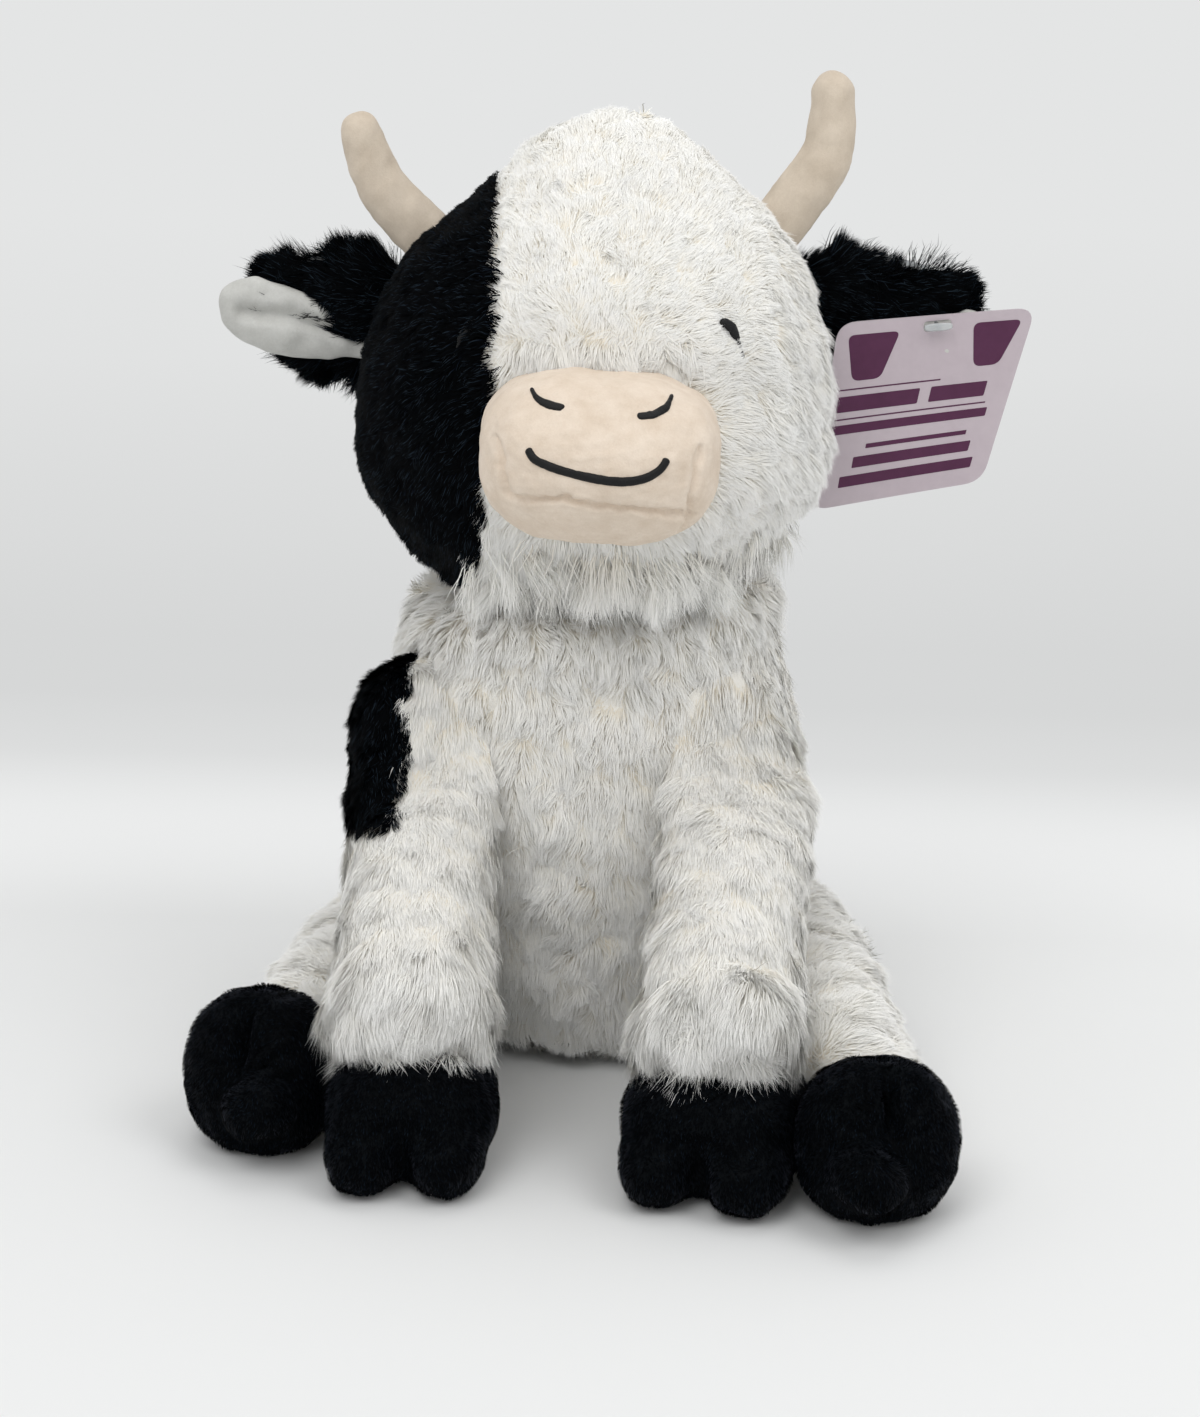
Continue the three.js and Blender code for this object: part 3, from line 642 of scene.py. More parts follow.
WHITE_PILE = strand_material(
    "white_pile", (241, 232, 213), (249, 247, 240), (253, 253, 251), 0.9, 0.15, sheen=0.05,
    range_of_tones=0.05,
)
BLACK_PILE = strand_material(
    "black_pile", (0, 0, 1), (2, 3, 5), (6, 9, 12), 0.7, 0.03, tint=(0.55, 0.62, 0.85, 1),
    range_of_tones=0.6, painted_glint=13.0,
)
BLACK_NAP = strand_material(
    "black_nap", (1, 2, 4), (3, 5, 8), (7, 10, 14), 0.7, 0.03, painted_glint=6.0,
)
WHITE_BACKING = cloth_material("white_backing", (238, 235, 226), (247, 245, 239), 900, 0.4, 0.9)
BLACK_BACKING = cloth_material("black_backing", (1, 2, 3), (4, 6, 8), 900, 0.4, 0.9, specular=0.02)
BLACK_VELBOA = cloth_material(
    "black_velboa", (1, 3, 5), (5, 9, 12), 1500, 0.35, 0.7, sheen=0.22,
    tint=(0.45, 0.5, 0.68, 1), specular=0.06,
)
CREAM_VELOUR = cloth_material(
    "cream_velour", (216, 199, 180), (232, 218, 202), 1800, 0.35, 0.9, sheen=0.06, specular=0.1,
)
# The horns' cloth is the muzzle's cream velour, set darker here as painted shade
SHADED_CREAM_VELOUR = cloth_material(
    "shaded_cream_velour", (198, 184, 166), (216, 203, 186), 1800, 0.3, 0.9, sheen=0.08, specular=0.15,
)
# The ear's lining is a pale grey-white cloth, set a little darker as painted shade from its crease and the ear's
# fur
WHITE_SATIN = cloth_material(
    "white_lining", (184, 184, 179), (206, 206, 202), 1400, 0.12, 0.55, sheen=0.1, specular=0.3,
)
BLACK_THREAD = cloth_material("black_thread", (4, 4, 5), (12, 12, 14), 2400, 0.5, 0.5, specular=0.3)
FELT = cloth_material("seat_felt", (214, 213, 207), (232, 231, 226), 1200, 0.5, 0.95)
CARD = cloth_material(
    "tag_card", (187, 175, 182), (198, 187, 193), 260, 0.05, 0.5, specular=0.2, depth=0.0001,
)
CARD_PRINT = cloth_material(
    "tag_print", (80, 42, 68), (92, 50, 80), 260, 0.05, 0.45, specular=0.2, depth=0.0001,
)
CLEAR = hard_material("clear_plastic", (228, 232, 234), (240, 243, 244), 300, 0.2, 0.6)
BULB = hard_material("squeaker_plastic", (226, 220, 204), (238, 233, 220), 200, 0.42)

# ---- Forms, in the CAD source's own sizes ----
HEAD_TURN = 4.5
HEAD_BASE, HEAD_TALL, HEAD_RADIUS = 149, 147, 75
# How far under the CAD surface the cloth lies, so that its pile ends a little beyond it
PILE_DEPTH = 3.4
FACE_DEPTH = 1.4


def head_form():
    return stuffed(
        [[0, -16, HEAD_BASE], [0, -16, 222.5], [14, -16, 296]], HEAD_RADIUS, [0.93, 0.99, 1.01, 0.95, 0.8, 0.64],
        (42, 60), (1, 0, 0), flat=0.92, sides=110, rings=90, grow=-PILE_DEPTH,
    )


def front_leg_form(side):
    shoulder, top = (48, 122) if side > 0 else (-52.5, 126)
    reach = 15 if side > 0 else 9
    return stuffed(
        [[shoulder, -24, top], [(shoulder + side * 45) / 2, -80, 74], [side * 45, -134 - reach, 38]],
        26.5, [0.98 if side > 0 else 0.93, 1, 0.96, 0.98, 1.02], (24, 15), (1, 0, 0),
        sides=84, rings=80, grow=-PILE_DEPTH,
    )


def hind_leg_form(side):
    route = [[68, -54, 26], [88, -138, 22]] if side > 0 else [[-68, -44, 26], [-88, -112, 23]]
    return stuffed(
        [[side * 50, 8, 26], *route], 26, [1, 1.02, 0.95, 0.76], (26, 16), (0, 0, 1),
        sides=72, rings=60, grow=-PILE_DEPTH,
    )


def flattened(skin, level=0.3):
    skin.co[:, 2] = np.maximum(skin.co[:, 2], level)
    return skin


def head_turned(skin):
    skin.co = turned_about(skin.co, HEAD_TURN, 2)
    return skin


def head_local(co):
    return turned_about(co, -HEAD_TURN, 2)


# The black panel's edge, as shares of the head's half width and height, from the bottom up
FACE_EDGE = np.array([
    [-0.55, -0.1], [-0.5, 0.05], [-0.48, 0.22], [-0.45, 0.34], [-0.43, 0.48], [-0.41, 0.62], [-0.415, 1.2],
])


def face_side(co):
    """How far, in mm, a point of the head lies on the black panel's side of its edge."""
    local = head_local(co)
    level = (local[:, 2] - HEAD_BASE) / HEAD_TALL
    edge = np.interp(level, FACE_EDGE[:, 1], FACE_EDGE[:, 0]) * HEAD_RADIUS
    return np.minimum(edge - local[:, 0], 14 - local[:, 1])


def all_along(skin, *way):
    return np.tile([float(v) for v in way], (len(skin.co), 1))


def away_from(co, centre):
    return unit(co - np.array(centre, float))


def build_torso():
    skin = stuffed(
        [[0, 0, -5], [0, 0, 81.5], [0, 0, 163]], 72, [0.9, 0.985, 1, 0.985, 0.945, 0.88, 0.86],
        (15, 22), (1, 0, 0), sides=110, rings=90, grow=-PILE_DEPTH,
    )
    level = skin.co[:, 2]
    right = 4.0 * smooth(level, 112, 146) * smooth(-skin.co[:, 0], 10, 55)
    skin.co[:, 0] += right - 4.5 * smooth(level, 50, 135)
    skin.co[:, 0] += 7.5 * smooth(level, 138, 154) * smooth(skin.co[:, 0], 12, 42)
    skin.co[:, 2] -= 6.0 * smooth(level, 128, 154) * smooth(-skin.co[:, 0], 20, 50)
    skin.swelled(1.2 * waves(skin.co, 46, 11))
    return flattened(skin)


# How far the sides of the head stand out from the plain form: height, right side, left side
HEAD_SIDES = np.array([
    [140, 5, 4], [154, 5, 2.5], [167, 1.5, -3], [178, 0, -3.5], [188, -0.5, -1.5], [204, -0.5, -2],
    [220, -1.5, -1.5], [236, -2.5, 1], [251, -6, 5], [265, -10, 4.5], [272, -12, 2], [280, -12, 0], [296, -4, -3],
])


def build_head():
    skin = head_form()
    level, side = skin.co[:, 2], skin.co[:, 0] / 70
    right = np.interp(level, HEAD_SIDES[:, 0], HEAD_SIDES[:, 1]) * smooth(-side, 0.0, 0.75)
    left = np.interp(level, HEAD_SIDES[:, 0], HEAD_SIDES[:, 2]) * smooth(side, 0.1, 0.9)
    skin.co[:, 0] += left - right
    jaw = 5.0 * smooth(-skin.co[:, 0], 18, 42) * smooth(level, 178, 156)
    skin.co[:, 2] += 2.5 * smooth(level, 262, 296) - jaw
    skin.swelled(0.9 * waves(skin.co, 50, 21))
    return head_turned(skin)


torso = build_torso()
head = build_head()
kept_out(head, torso, 0.5)

MUZZLE_AT = (0, 36 - 122, 206)
SEAMS = [
    [(-29.5, 6), (-28, 0), (-26.6, -5), (-26.3, -8.4)],
    [(-26.3, -8.4), (-18.6, -9), (-10.3, -7.2), (1.3, -9.2), (12.8, -9.8), (22.7, -11.2), (27, -12)],
    [(28.5, 7), (27, 1), (26.4, -4), (26.4, -12), (24.5, -19)],
]


def to_line(points, line):
    """Distance from points in a plane to a line of straight runs."""
    best = np.full(len(points), 1e9)
    for a, b in zip(line, line[1:]):
        a, b = np.array(a, float), np.array(b, float)
        t = np.clip(((points - a) @ (b - a)) / ((b - a) @ (b - a)), 0, 1)
        best = np.minimum(best, np.linalg.norm(points - a - t[:, None] * (b - a), axis=1))
    return best


def build_muzzle():
    skin = pad(70, 72, 47, 2.65, sides=260, rings=190)
    co = skin.co
    level = co[:, 2]
    ahead = smooth(-co[:, 1], 0, 30)
    co[:, 1] *= 1 - ahead * (0.17 * smooth(level, 2, 24) + 0.15 * smooth(-level, 2, 24))
    co[:, 2] -= 2.0 * smooth(-level, 6, 22)
    skin.swelled(0.35 * waves(co, 22, 201) + 0.12 * waves(co, 7, 202))
    flat = skin.co[:, [0, 2]]
    front = smooth(-skin.co[:, 1], 12, 20)
    groove = np.zeros(len(flat))
    for line in SEAMS:
        wavy = flat + 0.5 * np.stack([waves(skin.co, 9, 203), waves(skin.co, 6, 204)], 1)
        away = to_line(wavy, line)
        swell_beside = 0.5 * np.exp(-(((away - 3.0) / 1.6) ** 2))
        groove = np.maximum(groove, 2.0 * np.exp(-((away / 1.0) ** 2)) - swell_beside)
    pucker = 0.12 * waves(skin.co, 3.2, 205) * np.exp(-((groove - 0.2) ** 2) * 6)
    skin.swelled(-front * groove + front * pucker)
    skin.co = turned_about(skin.co, 3, 1) + MUZZLE_AT
    return head_turned(skin)


muzzle = build_muzzle()


def lay_back(leg, trunk, side):
    """The top of an arm runs into the chest; only the patched one keeps the shoulder's full width outside."""
    high = np.where(leg.co[:, 2] > 88)[0]
    far, spots, _ = nearest(trunk.bvh(), leg.co[high])
    rise = smooth(leg.co[high, 2], 86, 116)
    if side < 0:
        rise *= 1 - smooth(side * leg.co[high, 0], 50, 66)
    share = (1 - 0.9 * rise)[:, None]
    moved = spots + (leg.co[high] - spots) * share
    leg.co[high] = np.where((far > 0)[:, None], moved, leg.co[high])


def build_front_hoof(side):
    sole = pad(54, 54, 40, 2.45, 60, 40)
    toes = []
    for way in (-1, 1):
        toe = pad(24, 34, 25, 2.2, 40, 28)
        toe.co += (way * 12.8, -15.5, -7)
        toes.append(toe)
    sole.co[:, 1] = np.maximum(sole.co[:, 1], -26 + 3 * smooth(-sole.co[:, 2], 0, 20))
    made = fused(joined(sole, *toes), 1.5, 7)
    co = made.co
    made.swelled(
        -3.8 * np.exp(-((co[:, 0] / 2.6) ** 2)) * smooth(-co[:, 1], 14, 28) * smooth(-co[:, 2], -8, 5)
    )
    co = made.co
    # The toes stand a little proud of the foot, under a soft fold across the front
    level = co[:, 2] - 2.5 - 2.0 * np.cos(co[:, 0] / 4.2)
    across = smooth(24 - np.abs(co[:, 0]), 0, 8)
    made.swelled(-1.5 * np.exp(-((level / 2.2) ** 2)) * smooth(-co[:, 1], 16, 25) * across)
    made.swelled(0.35 * waves(made.co, 13, 71 + side))
    if side > 0:
        made.co = turned_about(made.co, -10, 2)
    else:
        made.co *= (0.94, 0.93, 1.0)
    made.co += (side * 45, -137 if side > 0 else -135, 20 - 0.8)
    return flattened(made, 0.2)


front_hooves = {side: build_front_hoof(side) for side in (-1, 1)}

front_legs = {side: front_leg_form(side) for side in (-1, 1)}
hind_legs = {side: hind_leg_form(side) for side in (-1, 1)}
for side in (-1, 1):
    front_legs[side].swelled(0.9 * waves(front_legs[side].co, 34, 31 + side))
    hind_legs[side].swelled(0.9 * waves(hind_legs[side].co, 34, 35 + side))
    lay_back(front_legs[side], torso, side)
    kept_out(front_legs[side], torso, 0.6)
    kept_out(front_legs[side], front_hooves[side], 0.7)
    flattened(front_legs[side])
    kept_out(hind_legs[side], torso, 0.6)
    kept_out(hind_legs[side], front_legs[side], 0.8)
    flattened(hind_legs[side])


def build_hind_hoof(side):
    place = (91, -152, 21.5) if side > 0 else (-92, -121, 22.5)
    outer = pad(47, 36, 47 if side > 0 else 50, 2.3, 60, 44)
    toe = pad(23, 27, 19, 2.2, 40, 28)
    toe.co = turned_about(toe.co, side * 28, 1)
    toe.co += (-side * 6, -16, -8)
    made = fused(joined(outer, toe), 1.5, 6)
    co = made.co
    # A deep fold runs down from the top of the sole, with puckers fanned round its end
    fold = np.exp(-(((co[:, 0] - side * 1.5) / 2.6) ** 2)) * smooth(co[:, 2], -3, 8) * smooth(-co[:, 1], 6, 17)
    made.swelled(-5.5 * fold)
    co = made.co
    angle = np.arctan2(co[:, 2] - 1, co[:, 0])
    reach = np.hypot(co[:, 0], co[:, 2] - 1)
    ring = smooth(reach, 3, 8) * (1 - smooth(reach, 14, 21))
    ring = ring * smooth(-co[:, 1], 8, 16) * smooth(co[:, 2], -4, 6)
    made.swelled(0.7 * ring * np.sin(angle * 11 + side))
    made.swelled(0.3 * waves(made.co, 12, 81 + side))
    made.co = turned_about(made.co, -16, 0)
    made.co = turned_about(made.co, side * 10, 2)
    made.co += place
    kept_out(made, front_hooves[side], 0.5)
    return flattened(made, 0.2)


hind_hooves = {side: build_hind_hoof(side) for side in (-1, 1)}


HORNS = {
    -1: [[-40, 4, 240], [-55, 6, 256], [-69, 7, 272], [-77, 8, 294]],
    1: [[46, 2, 248], [61, 4, 266], [71, 5, 281], [73, 6, 307]],
}


def horn_form(side):
    return stuffed(HORNS[side], 8.6, [1, 1, 6.2 / 8.6], (8.6, 6.2), (0, 1, 0), sides=48, rings=64)


# ---- Pieces ----
def torso_pieces():
    piece("torso_skin", "torso", torso, WHITE_BACKING, slot="white_plush",
          replaces=("torso_cover", "torso_stuffing"), fill=0.8)
    hidden = np.maximum(covered(torso, *hind_legs.values()), covered(torso, head, reach=-1.0))
    hidden = np.maximum(hidden, covered(torso, *front_legs.values(), depth=2.5, reach=-1.0))
    weight = (1 - hidden) * smooth(torso.co[:, 2], 1.0, 4.0)
    comb = all_along(torso, 0, 0, -1) + 0.25 * unit(torso.co * (1, 1, 0))
    front = torso.co[:, 1] < 0
    for name, part, layers, seed in (("torso_pile_front", front, 2, 101), ("torso_pile_back", ~front, 1, 102)):
        pile(name, "torso", torso, WHITE_PILE, STRANDS, 8.8, 0.3 + 0.1 * (layers == 1),
             0.36 + 0.2 * smooth(torso.co[:, 2], 122, 145), 3.6, seed, comb, weight=weight * part, droop=0.2,
             layers=layers, wander=0.55, curl=0.6)


def nap(name, body, skin, seed, weight):
    """The very short pile of a hoof's velboa."""
    comb = all_along(skin, 0, -0.4, -1)
    weight = weight * smooth(skin.co[:, 2], 0.6, 2.0)
    pile(name, body, skin, BLACK_NAP, 30000, 1.7, 0.26, 0.62, 1.6, seed, comb, weight=weight,
         pull=0.3, curl=0.0)


def panel(name, body, skin, inside, rise, material, **more):
    """A thin closed cover over the part of a skin whose corners are all inside, rise mm above it."""
    outer = skin.copy().swelled(rise).co
    keep = [f for f in skin.faces if inside[list(f)].all()]
    used = sorted({i for f in keep for i in f})
    index = {old: new for new, old in enumerate(used)}
    n = len(used)
    faces = [tuple(index[i] for i in f) for f in keep]
    inner = skin.co[used] * 0.9 + outer[used] * 0.1
    shell = Skin(np.concatenate([outer[used], inner]), closed_shell(faces, n))
    piece(name, body, shell, material, **more)


def head_pieces():
    piece("head_skin", "head", head, WHITE_BACKING, slot="white_plush",
          replaces=("head_cover", "head_stuffing"), fill=0.85)
    side = face_side(head.co)
    dark = head.copy()
    dark.swelled(PILE_DEPTH - FACE_DEPTH)
    panel("face_skin", "head", head, side > 0, PILE_DEPTH - FACE_DEPTH, BLACK_BACKING,
          slot="black_plush", replaces=("face_panel",), fill=0.8)

    neighbours = covered(head, muzzle, torso, depth=1.0)
    comb = away_from(head.co, (0, -118, 212)) + (0, 0, -0.12)
    local = head_local(head.co)
    low = smooth(local[:, 2], 196, 160)
    cheek = smooth(np.abs(local[:, 0]), 24, 62) * smooth(local[:, 2], 250, 215)
    # The pile is longest at the beard and the cheeks, and shortest along the black panel
    shares = 0.8 + np.maximum(0.65 * low * (1 - 0.35 * cheek), 0.45 * cheek)
    shares = shares * (1 - 0.4 * smooth(side, -7, -1) * (1 - low))
    comb[:, 2] -= np.maximum(1.6 * smooth(local[:, 1], -15, 25), 0.9 * smooth(np.abs(local[:, 0]), 34, 62))
    lift = 0.34 + 0.2 * low + 0.1 * cheek + 0.3 * smooth(local[:, 2], 162, 150)
    comb[:, 2] -= 1.2 * smooth(local[:, 2], 180, 158)
    white = side < 0.5
    open_white = (1 - neighbours) * white
    front = local[:, 1] < -10
    for name, part, layers, seed in (("head_pile_front", front, 2, 111), ("head_pile_back", ~front, 1, 112)):
        pile(name, "head", head, WHITE_PILE, STRANDS, 8.6, 0.3 + 0.1 * (layers == 1), lift, 3.6,
             seed, comb, weight=open_white * part, shares=shares, droop=0.25, layers=layers)
    # The beard hangs over the chest, and the hair of the neck all round
    fringe = smooth(local[:, 2], 151, 155) * smooth(local[:, 2], 178, 166) * white
    fringe = fringe * (1 - covered(head, muzzle, torso, depth=2.0))
    downward = all_along(head, 0, 0, -1)
    pile("neck_fringe", "head", head, WHITE_PILE, 30000, 17.0, 0.26, 0.62, 4.6, 116,
         downward + 0.2 * away_from(head.co, (0, -10, 160)), weight=fringe + 1e-9, droop=0.8,
         soften=0.2, strand=LONG_STRAND, curl=0.9, wander=0.6)
    above = smooth(local[:, 2], 226, 229) * smooth(local[:, 2], 238, 233)
    above = above * smooth(27 - np.abs(local[:, 0]), 0, 8)
    pile("brow_pile", "head", head, WHITE_PILE, 6500, 8.0, 0.28, 0.5, 3.0, 114,
         downward, weight=above * front * white + 1e-9, droop=0.5)
    cover = covered(dark, muzzle, torso, depth=1.0)
    pile("face_pile", "head", dark, BLACK_PILE, STRANDS, 4.2, 0.3, 0.5, 2.6, 113,
         away_from(dark.co, (0, -118, 230)) + (0, 0, -0.5), weight=(1 - cover) * (side > -0.3), curl=0.3,
         shares=1 + 1.1 * smooth(dark.co[:, 2], 172, 152), droop=0.3)


SMILE = [
    (-20.7, 6.2), (-18.5, 3.6), (-14.5, 2.1), (-7, 0.3), (0, -0.6), (7, -0.9), (13, 0.2), (17, 2.9), (18.6, 5.6),
]
NOSTRILS = {
    "right": [(-20.5, 20.0), (-18.6, 18.2), (-15.6, 17.3), (-11.0, 16.8)],
    "left": [(19.4, 20.2), (17.6, 17.9), (14.0, 16.4), (9.6, 15.8)],
}


def on_front(tree, x, z):
    """The point of the muzzle's front at a place on its face, and the normal there, in the cow's frame."""
    place = turned_about(np.array([[x, -80.0, z]]), 3, 1) + MUZZLE_AT
    aim = turned_about(place + (0, 100, 0), HEAD_TURN, 2) - turned_about(place, HEAD_TURN, 2)
    start = turned_about(place, HEAD_TURN, 2)[0]
    hit, normal, _, _ = tree.ray_cast(Vector(start), Vector(aim[0]).normalized())
    return np.array(hit), np.array(normal)


def satin(name, body, points, normals, half, rise, sink, pitch=0.5, **more):
    """A bar of satin stitches that follows points on a cloth; half gives its half width along the way."""
    runs = np.concatenate([[0], np.cumsum(np.linalg.norm(np.diff(points, axis=0), axis=1))])
    length = runs[-1]
    count = int(length / 0.11)
    at = np.linspace(0, length, count)
    line = np.stack([np.interp(at, runs, points[:, i]) for i in range(3)], 1)
    up = unit(np.stack([np.interp(at, runs, normals[:, i]) for i in range(3)], 1))
    along = unit(np.gradient(line, axis=0))
    across = unit(np.cross(along, up))
    end = opened(at, 0.9) * opened(length - at, 0.9)
    wide = np.interp(at / length, np.linspace(0, 1, len(half)), half) * end
    turns = np.linspace(0, 2 * np.pi, 15)[:-1]
    corners = []
    for i in range(count):
        for turn in turns:
            slant = at[i] + 0.35 * math.cos(turn)
            ridge = 1 + 0.13 * abs(math.sin(math.pi * slant / pitch))
            x = wide[i] * math.cos(turn) * (0.92 + 0.08 * ridge)
            z = rise * end[i] * math.sin(turn) * ridge
            corners.append(line[i] + across[i] * x + up[i] * (z - sink))
    n = len(turns)
    faces = [
        (i * n + k, i * n + (k + 1) % n, (i + 1) * n + (k + 1) % n, (i + 1) * n + k)
        for i in range(count - 1) for k in range(n)
    ]
    faces += [tuple(reversed(range(n))), tuple((count - 1) * n + k for k in range(n))]
    piece(name, body, Skin(corners, faces), BLACK_THREAD, slot="black_thread", **more)


def stitched_line(tree, spots):
    flat = Route([(x, 0, z) for x, z in spots]).at(np.linspace(0, 1, 60))
    found = [on_front(tree, x, z) for x, _, z in flat]
    return np.array([f[0] for f in found]), np.array([f[1] for f in found])


def muzzle_pieces():
    piece("muzzle_skin", "head", muzzle, CREAM_VELOUR, slot="cream_velour", replaces=("muzzle",), fill=0.8)
    tree = muzzle.bvh()
    satin("smile_satin", "head", *stitched_line(tree, SMILE), (1.15, 1.3, 1.3, 1.35, 1.3, 1.15), 0.75, 0.1,
          replaces=("smile_stitch",))
    for name, spots in NOSTRILS.items():
        satin("nostril_satin_" + name, "head", *stitched_line(tree, spots), (0.6, 0.7, 1.25, 1.5, 1.2),
              0.7, 0.1, replaces=("nostril_" + name,))


# Across, up, and how far the thread stands off the left side's skin
EYE = [(34.2, 239.8, 1.9), (35.8, 239.6, 2.2), (37.8, 238.2, 2.0), (39.8, 235.2, 0.9), (41.6, 229.6, 1.2)]


def eye_pieces():
    """Each eye is a small satin oval on the face, with a short curved thread at its outer end."""
    tree = head.bvh()
    for side, name in SIDES:
        points, normals = [], []
        for x, z, rise in EYE:
            start = turned_about(np.array([[side * x, -140.0, z]]), HEAD_TURN, 2)[0]
            aim = turned_about(np.array([[0.0, 1.0, 0.0]]), HEAD_TURN, 2)[0]
            hit, normal, _, _ = tree.ray_cast(Vector(start), Vector(aim))
            points.append(np.array(hit) + np.array(normal) * (rise if side > 0 else 2.0))
            normals.append(np.array(normal))
        satin("eye_satin_" + name, "head", np.array(points), np.array(normals), (1.2, 1.7, 1.5, 0.45, 0.5),
              0.7, 0.0, replaces=("eye_" + name,))


def horn_pieces():
    for side, name in SIDES:
        skin = head_turned(horn_form(side))
        skin.swelled(0.25 * waves(skin.co, 10, 140 + side))
        piece("horn_skin_" + name, "head", skin, SHADED_CREAM_VELOUR, slot="cream_velour",
              replaces=("horn_" + name,), fill=0.9)


def ear_lobe(side):
    """The lining: a soft lobe, fat at the ear's tip and narrow at its root, creased along its middle."""
    reach = 127 if side > 0 else 122
    skin = stuffed(
        [[side * 64, 8.0, 214], [side * 92, 5.4, 217.5], [side * (reach - 1), 5.0, 225]] if side > 0 else
        [[side * 64, 8.0, 219], [side * 92, 5.4, 226], [side * (reach - 1.5), 5.0, 236.5]],
        11.0, [0.25, 0.46, 0.74, 0.98, 0.98, 0.85], (10, 9), (0, 0, 1), flat=0.45, sides=110, rings=100,
    )
    co = skin.co
    line = [(side * 78.0, 224.5), (side * 98.0, 231.0), (side * 113.0, 232.5)]
    away = to_line(co[:, [0, 2]], line)
    front = smooth(8 - co[:, 1], -1, 3)
    skin.swelled(-3.6 * front * np.exp(-((away / 2.6) ** 2)) + 0.5 * waves(co, 16, 160 + side))
    return head_turned(skin)


def ear_skin(side):
    """The plush ear without its pile: thick and low, so that its tufts end where the ear does."""
    route, shares = (
        ([[58, 12, 235], [88, 12, 228.5], [117, 11, 235]], [1.1, 1.08, 0.95, 0.75, 0.55]) if side > 0 else
        ([[-58, 12, 231], [-88, 13, 230.5], [-107, 12, 239]], [1.0, 1.15, 1.1, 0.85, 0.6])
    )
    return head_turned(stuffed(
        route, 15.5, shares, (16, 10), (0, 0, 1), flat=0.36, sides=72, rings=60,
    ))


def ear_pieces():
    for side, name in SIDES:
        body = "ear_" + name
        skin = ear_skin(side)
        kept_out(skin, head, 0.8)
        piece("ear_skin_" + name, body, skin, BLACK_BACKING, slot="black_plush",
              replaces=("ear_" + name,), fill=0.5)
        lining = ear_lobe(side)
        kept_out(lining, head, 1.2)
        piece("ear_lining_skin_" + name, body, lining, WHITE_SATIN, slot="white_lining",
              replaces=("ear_lining_" + name,), fill=0.4)
        local = head_local(skin.co)
        high = (local[:, 2] - 231) / 16
        out = smooth(side * local[:, 0], 70, 120)
        rise = 0.5 * (high - 0.5) + 0.15 * out if side > 0 else 0.6 * high - 0.1 + 0.3 * out
        comb = np.stack([side * (1 + 0 * high), np.zeros(len(local)), rise], 1)
        comb = turned_about(comb, HEAD_TURN, 2)
        shares = 0.8 + 0.3 * smooth(high, 0.2, 0.9) + 0.2 * smooth(-high, 0.4, 1.0)
        weight = 1 - covered(skin, lining, head, depth=0.8, reach=0.2)
        clear = lining.bvh()
        # Strands that meet the lining above these levels pass in front of it, and the others behind it
        levels = [300, 300, 300] if side > 0 else [217, 224, 241]

        def over_lining(spots):
            far, near, normals = nearest(clear, spots)
            level = np.interp(side * head_local(spots)[:, 0], [64, 92, 122], levels)
            away = np.where((spots[:, 2] > level)[:, None], near + normals * 0.4, near + (0.0, 5.0, -1.0))
            return np.where((far < 0.4)[:, None], away, spots)

        pile("ear_pile_" + name, body, skin, BLACK_PILE, 39000, 12.0, 0.3, 0.4, 3.4, 150 + side,
             comb, weight=weight, shares=shares, strand=LONG_STRAND, wander=0.45, pull=0.55,
             hold_off=over_lining)
        rim = weight * smooth(np.abs(high), 0.45, 0.95)
        pile("ear_wisps_" + name, body, skin, BLACK_PILE, 3500, 12.5, 0.22, 0.5, 3.0, 155 + side,
             comb, weight=rim, strand=LONG_STRAND, wander=0.8, pull=0.2, curl=0.9, hold_off=over_lining)


# The top of each arm is sewn to the chest. These are the places between which the arm would bend away from it;
# they are passed with the arm's pieces but not used
ARM_BEND = (0.0, -0.054, 0.104), (0.0, -0.092, 0.072)


def front_leg_pieces():
    for side, name in SIDES:
        body = "front_leg_" + name
        sleeve = ("torso", body, *ARM_BEND)
        skin = front_legs[side]
        piece("front_leg_skin_" + name, sleeve, skin, WHITE_BACKING, slot="white_plush",
              replaces=(body,), fill=0.75)
        comb = skin.route.along(np.clip(skin.t, 0.02, 0.98)) + (0, 0, -0.3)
        off, _, _ = nearest(torso.bvh(), skin.co)
        weight = (1 - covered(skin, torso, front_hooves[side])) * smooth(off, 0.8, 3.5)
        patch = np.zeros(len(skin.co), bool)
        if side < 0:
            patch = (skin.co[:, 0] < -55.5) & (skin.co[:, 2] > 58 - 0.35 * skin.co[:, 1])
        cuff = smooth(skin.t, 0.72, 0.95)
        pile("front_leg_pile_" + name, sleeve, skin, WHITE_PILE, STRANDS, 10.0, 0.28,
             0.26 + 0.1 * cuff, 4.0, 120 + side, comb, weight=weight * ~patch, shares=0.95 + 0.6 * cuff,
             droop=0.12, layers=2, wander=0.34, pull=0.3)
        if side < 0:
            panel("shoulder_patch_skin", sleeve, skin, patch, 0.8, BLACK_BACKING, slot="black_plush",
                  replaces=("shoulder_patch",), fill=0.5)
            pile("shoulder_pile", sleeve, skin, BLACK_PILE, 40000, 6.6, 0.3, 0.5, 2.8, 125,
                 comb, weight=(1 - covered(skin, torso)) * patch)
        piece("front_hoof_skin_" + name, body, front_hooves[side], BLACK_VELBOA, slot="black_velour",
              replaces=("front_hoof_" + name,), fill=0.85)
        nap("front_hoof_nap_" + name, body, front_hooves[side], 160 + side,
            1 - covered(front_hooves[side], skin, depth=1.0, reach=0.0))


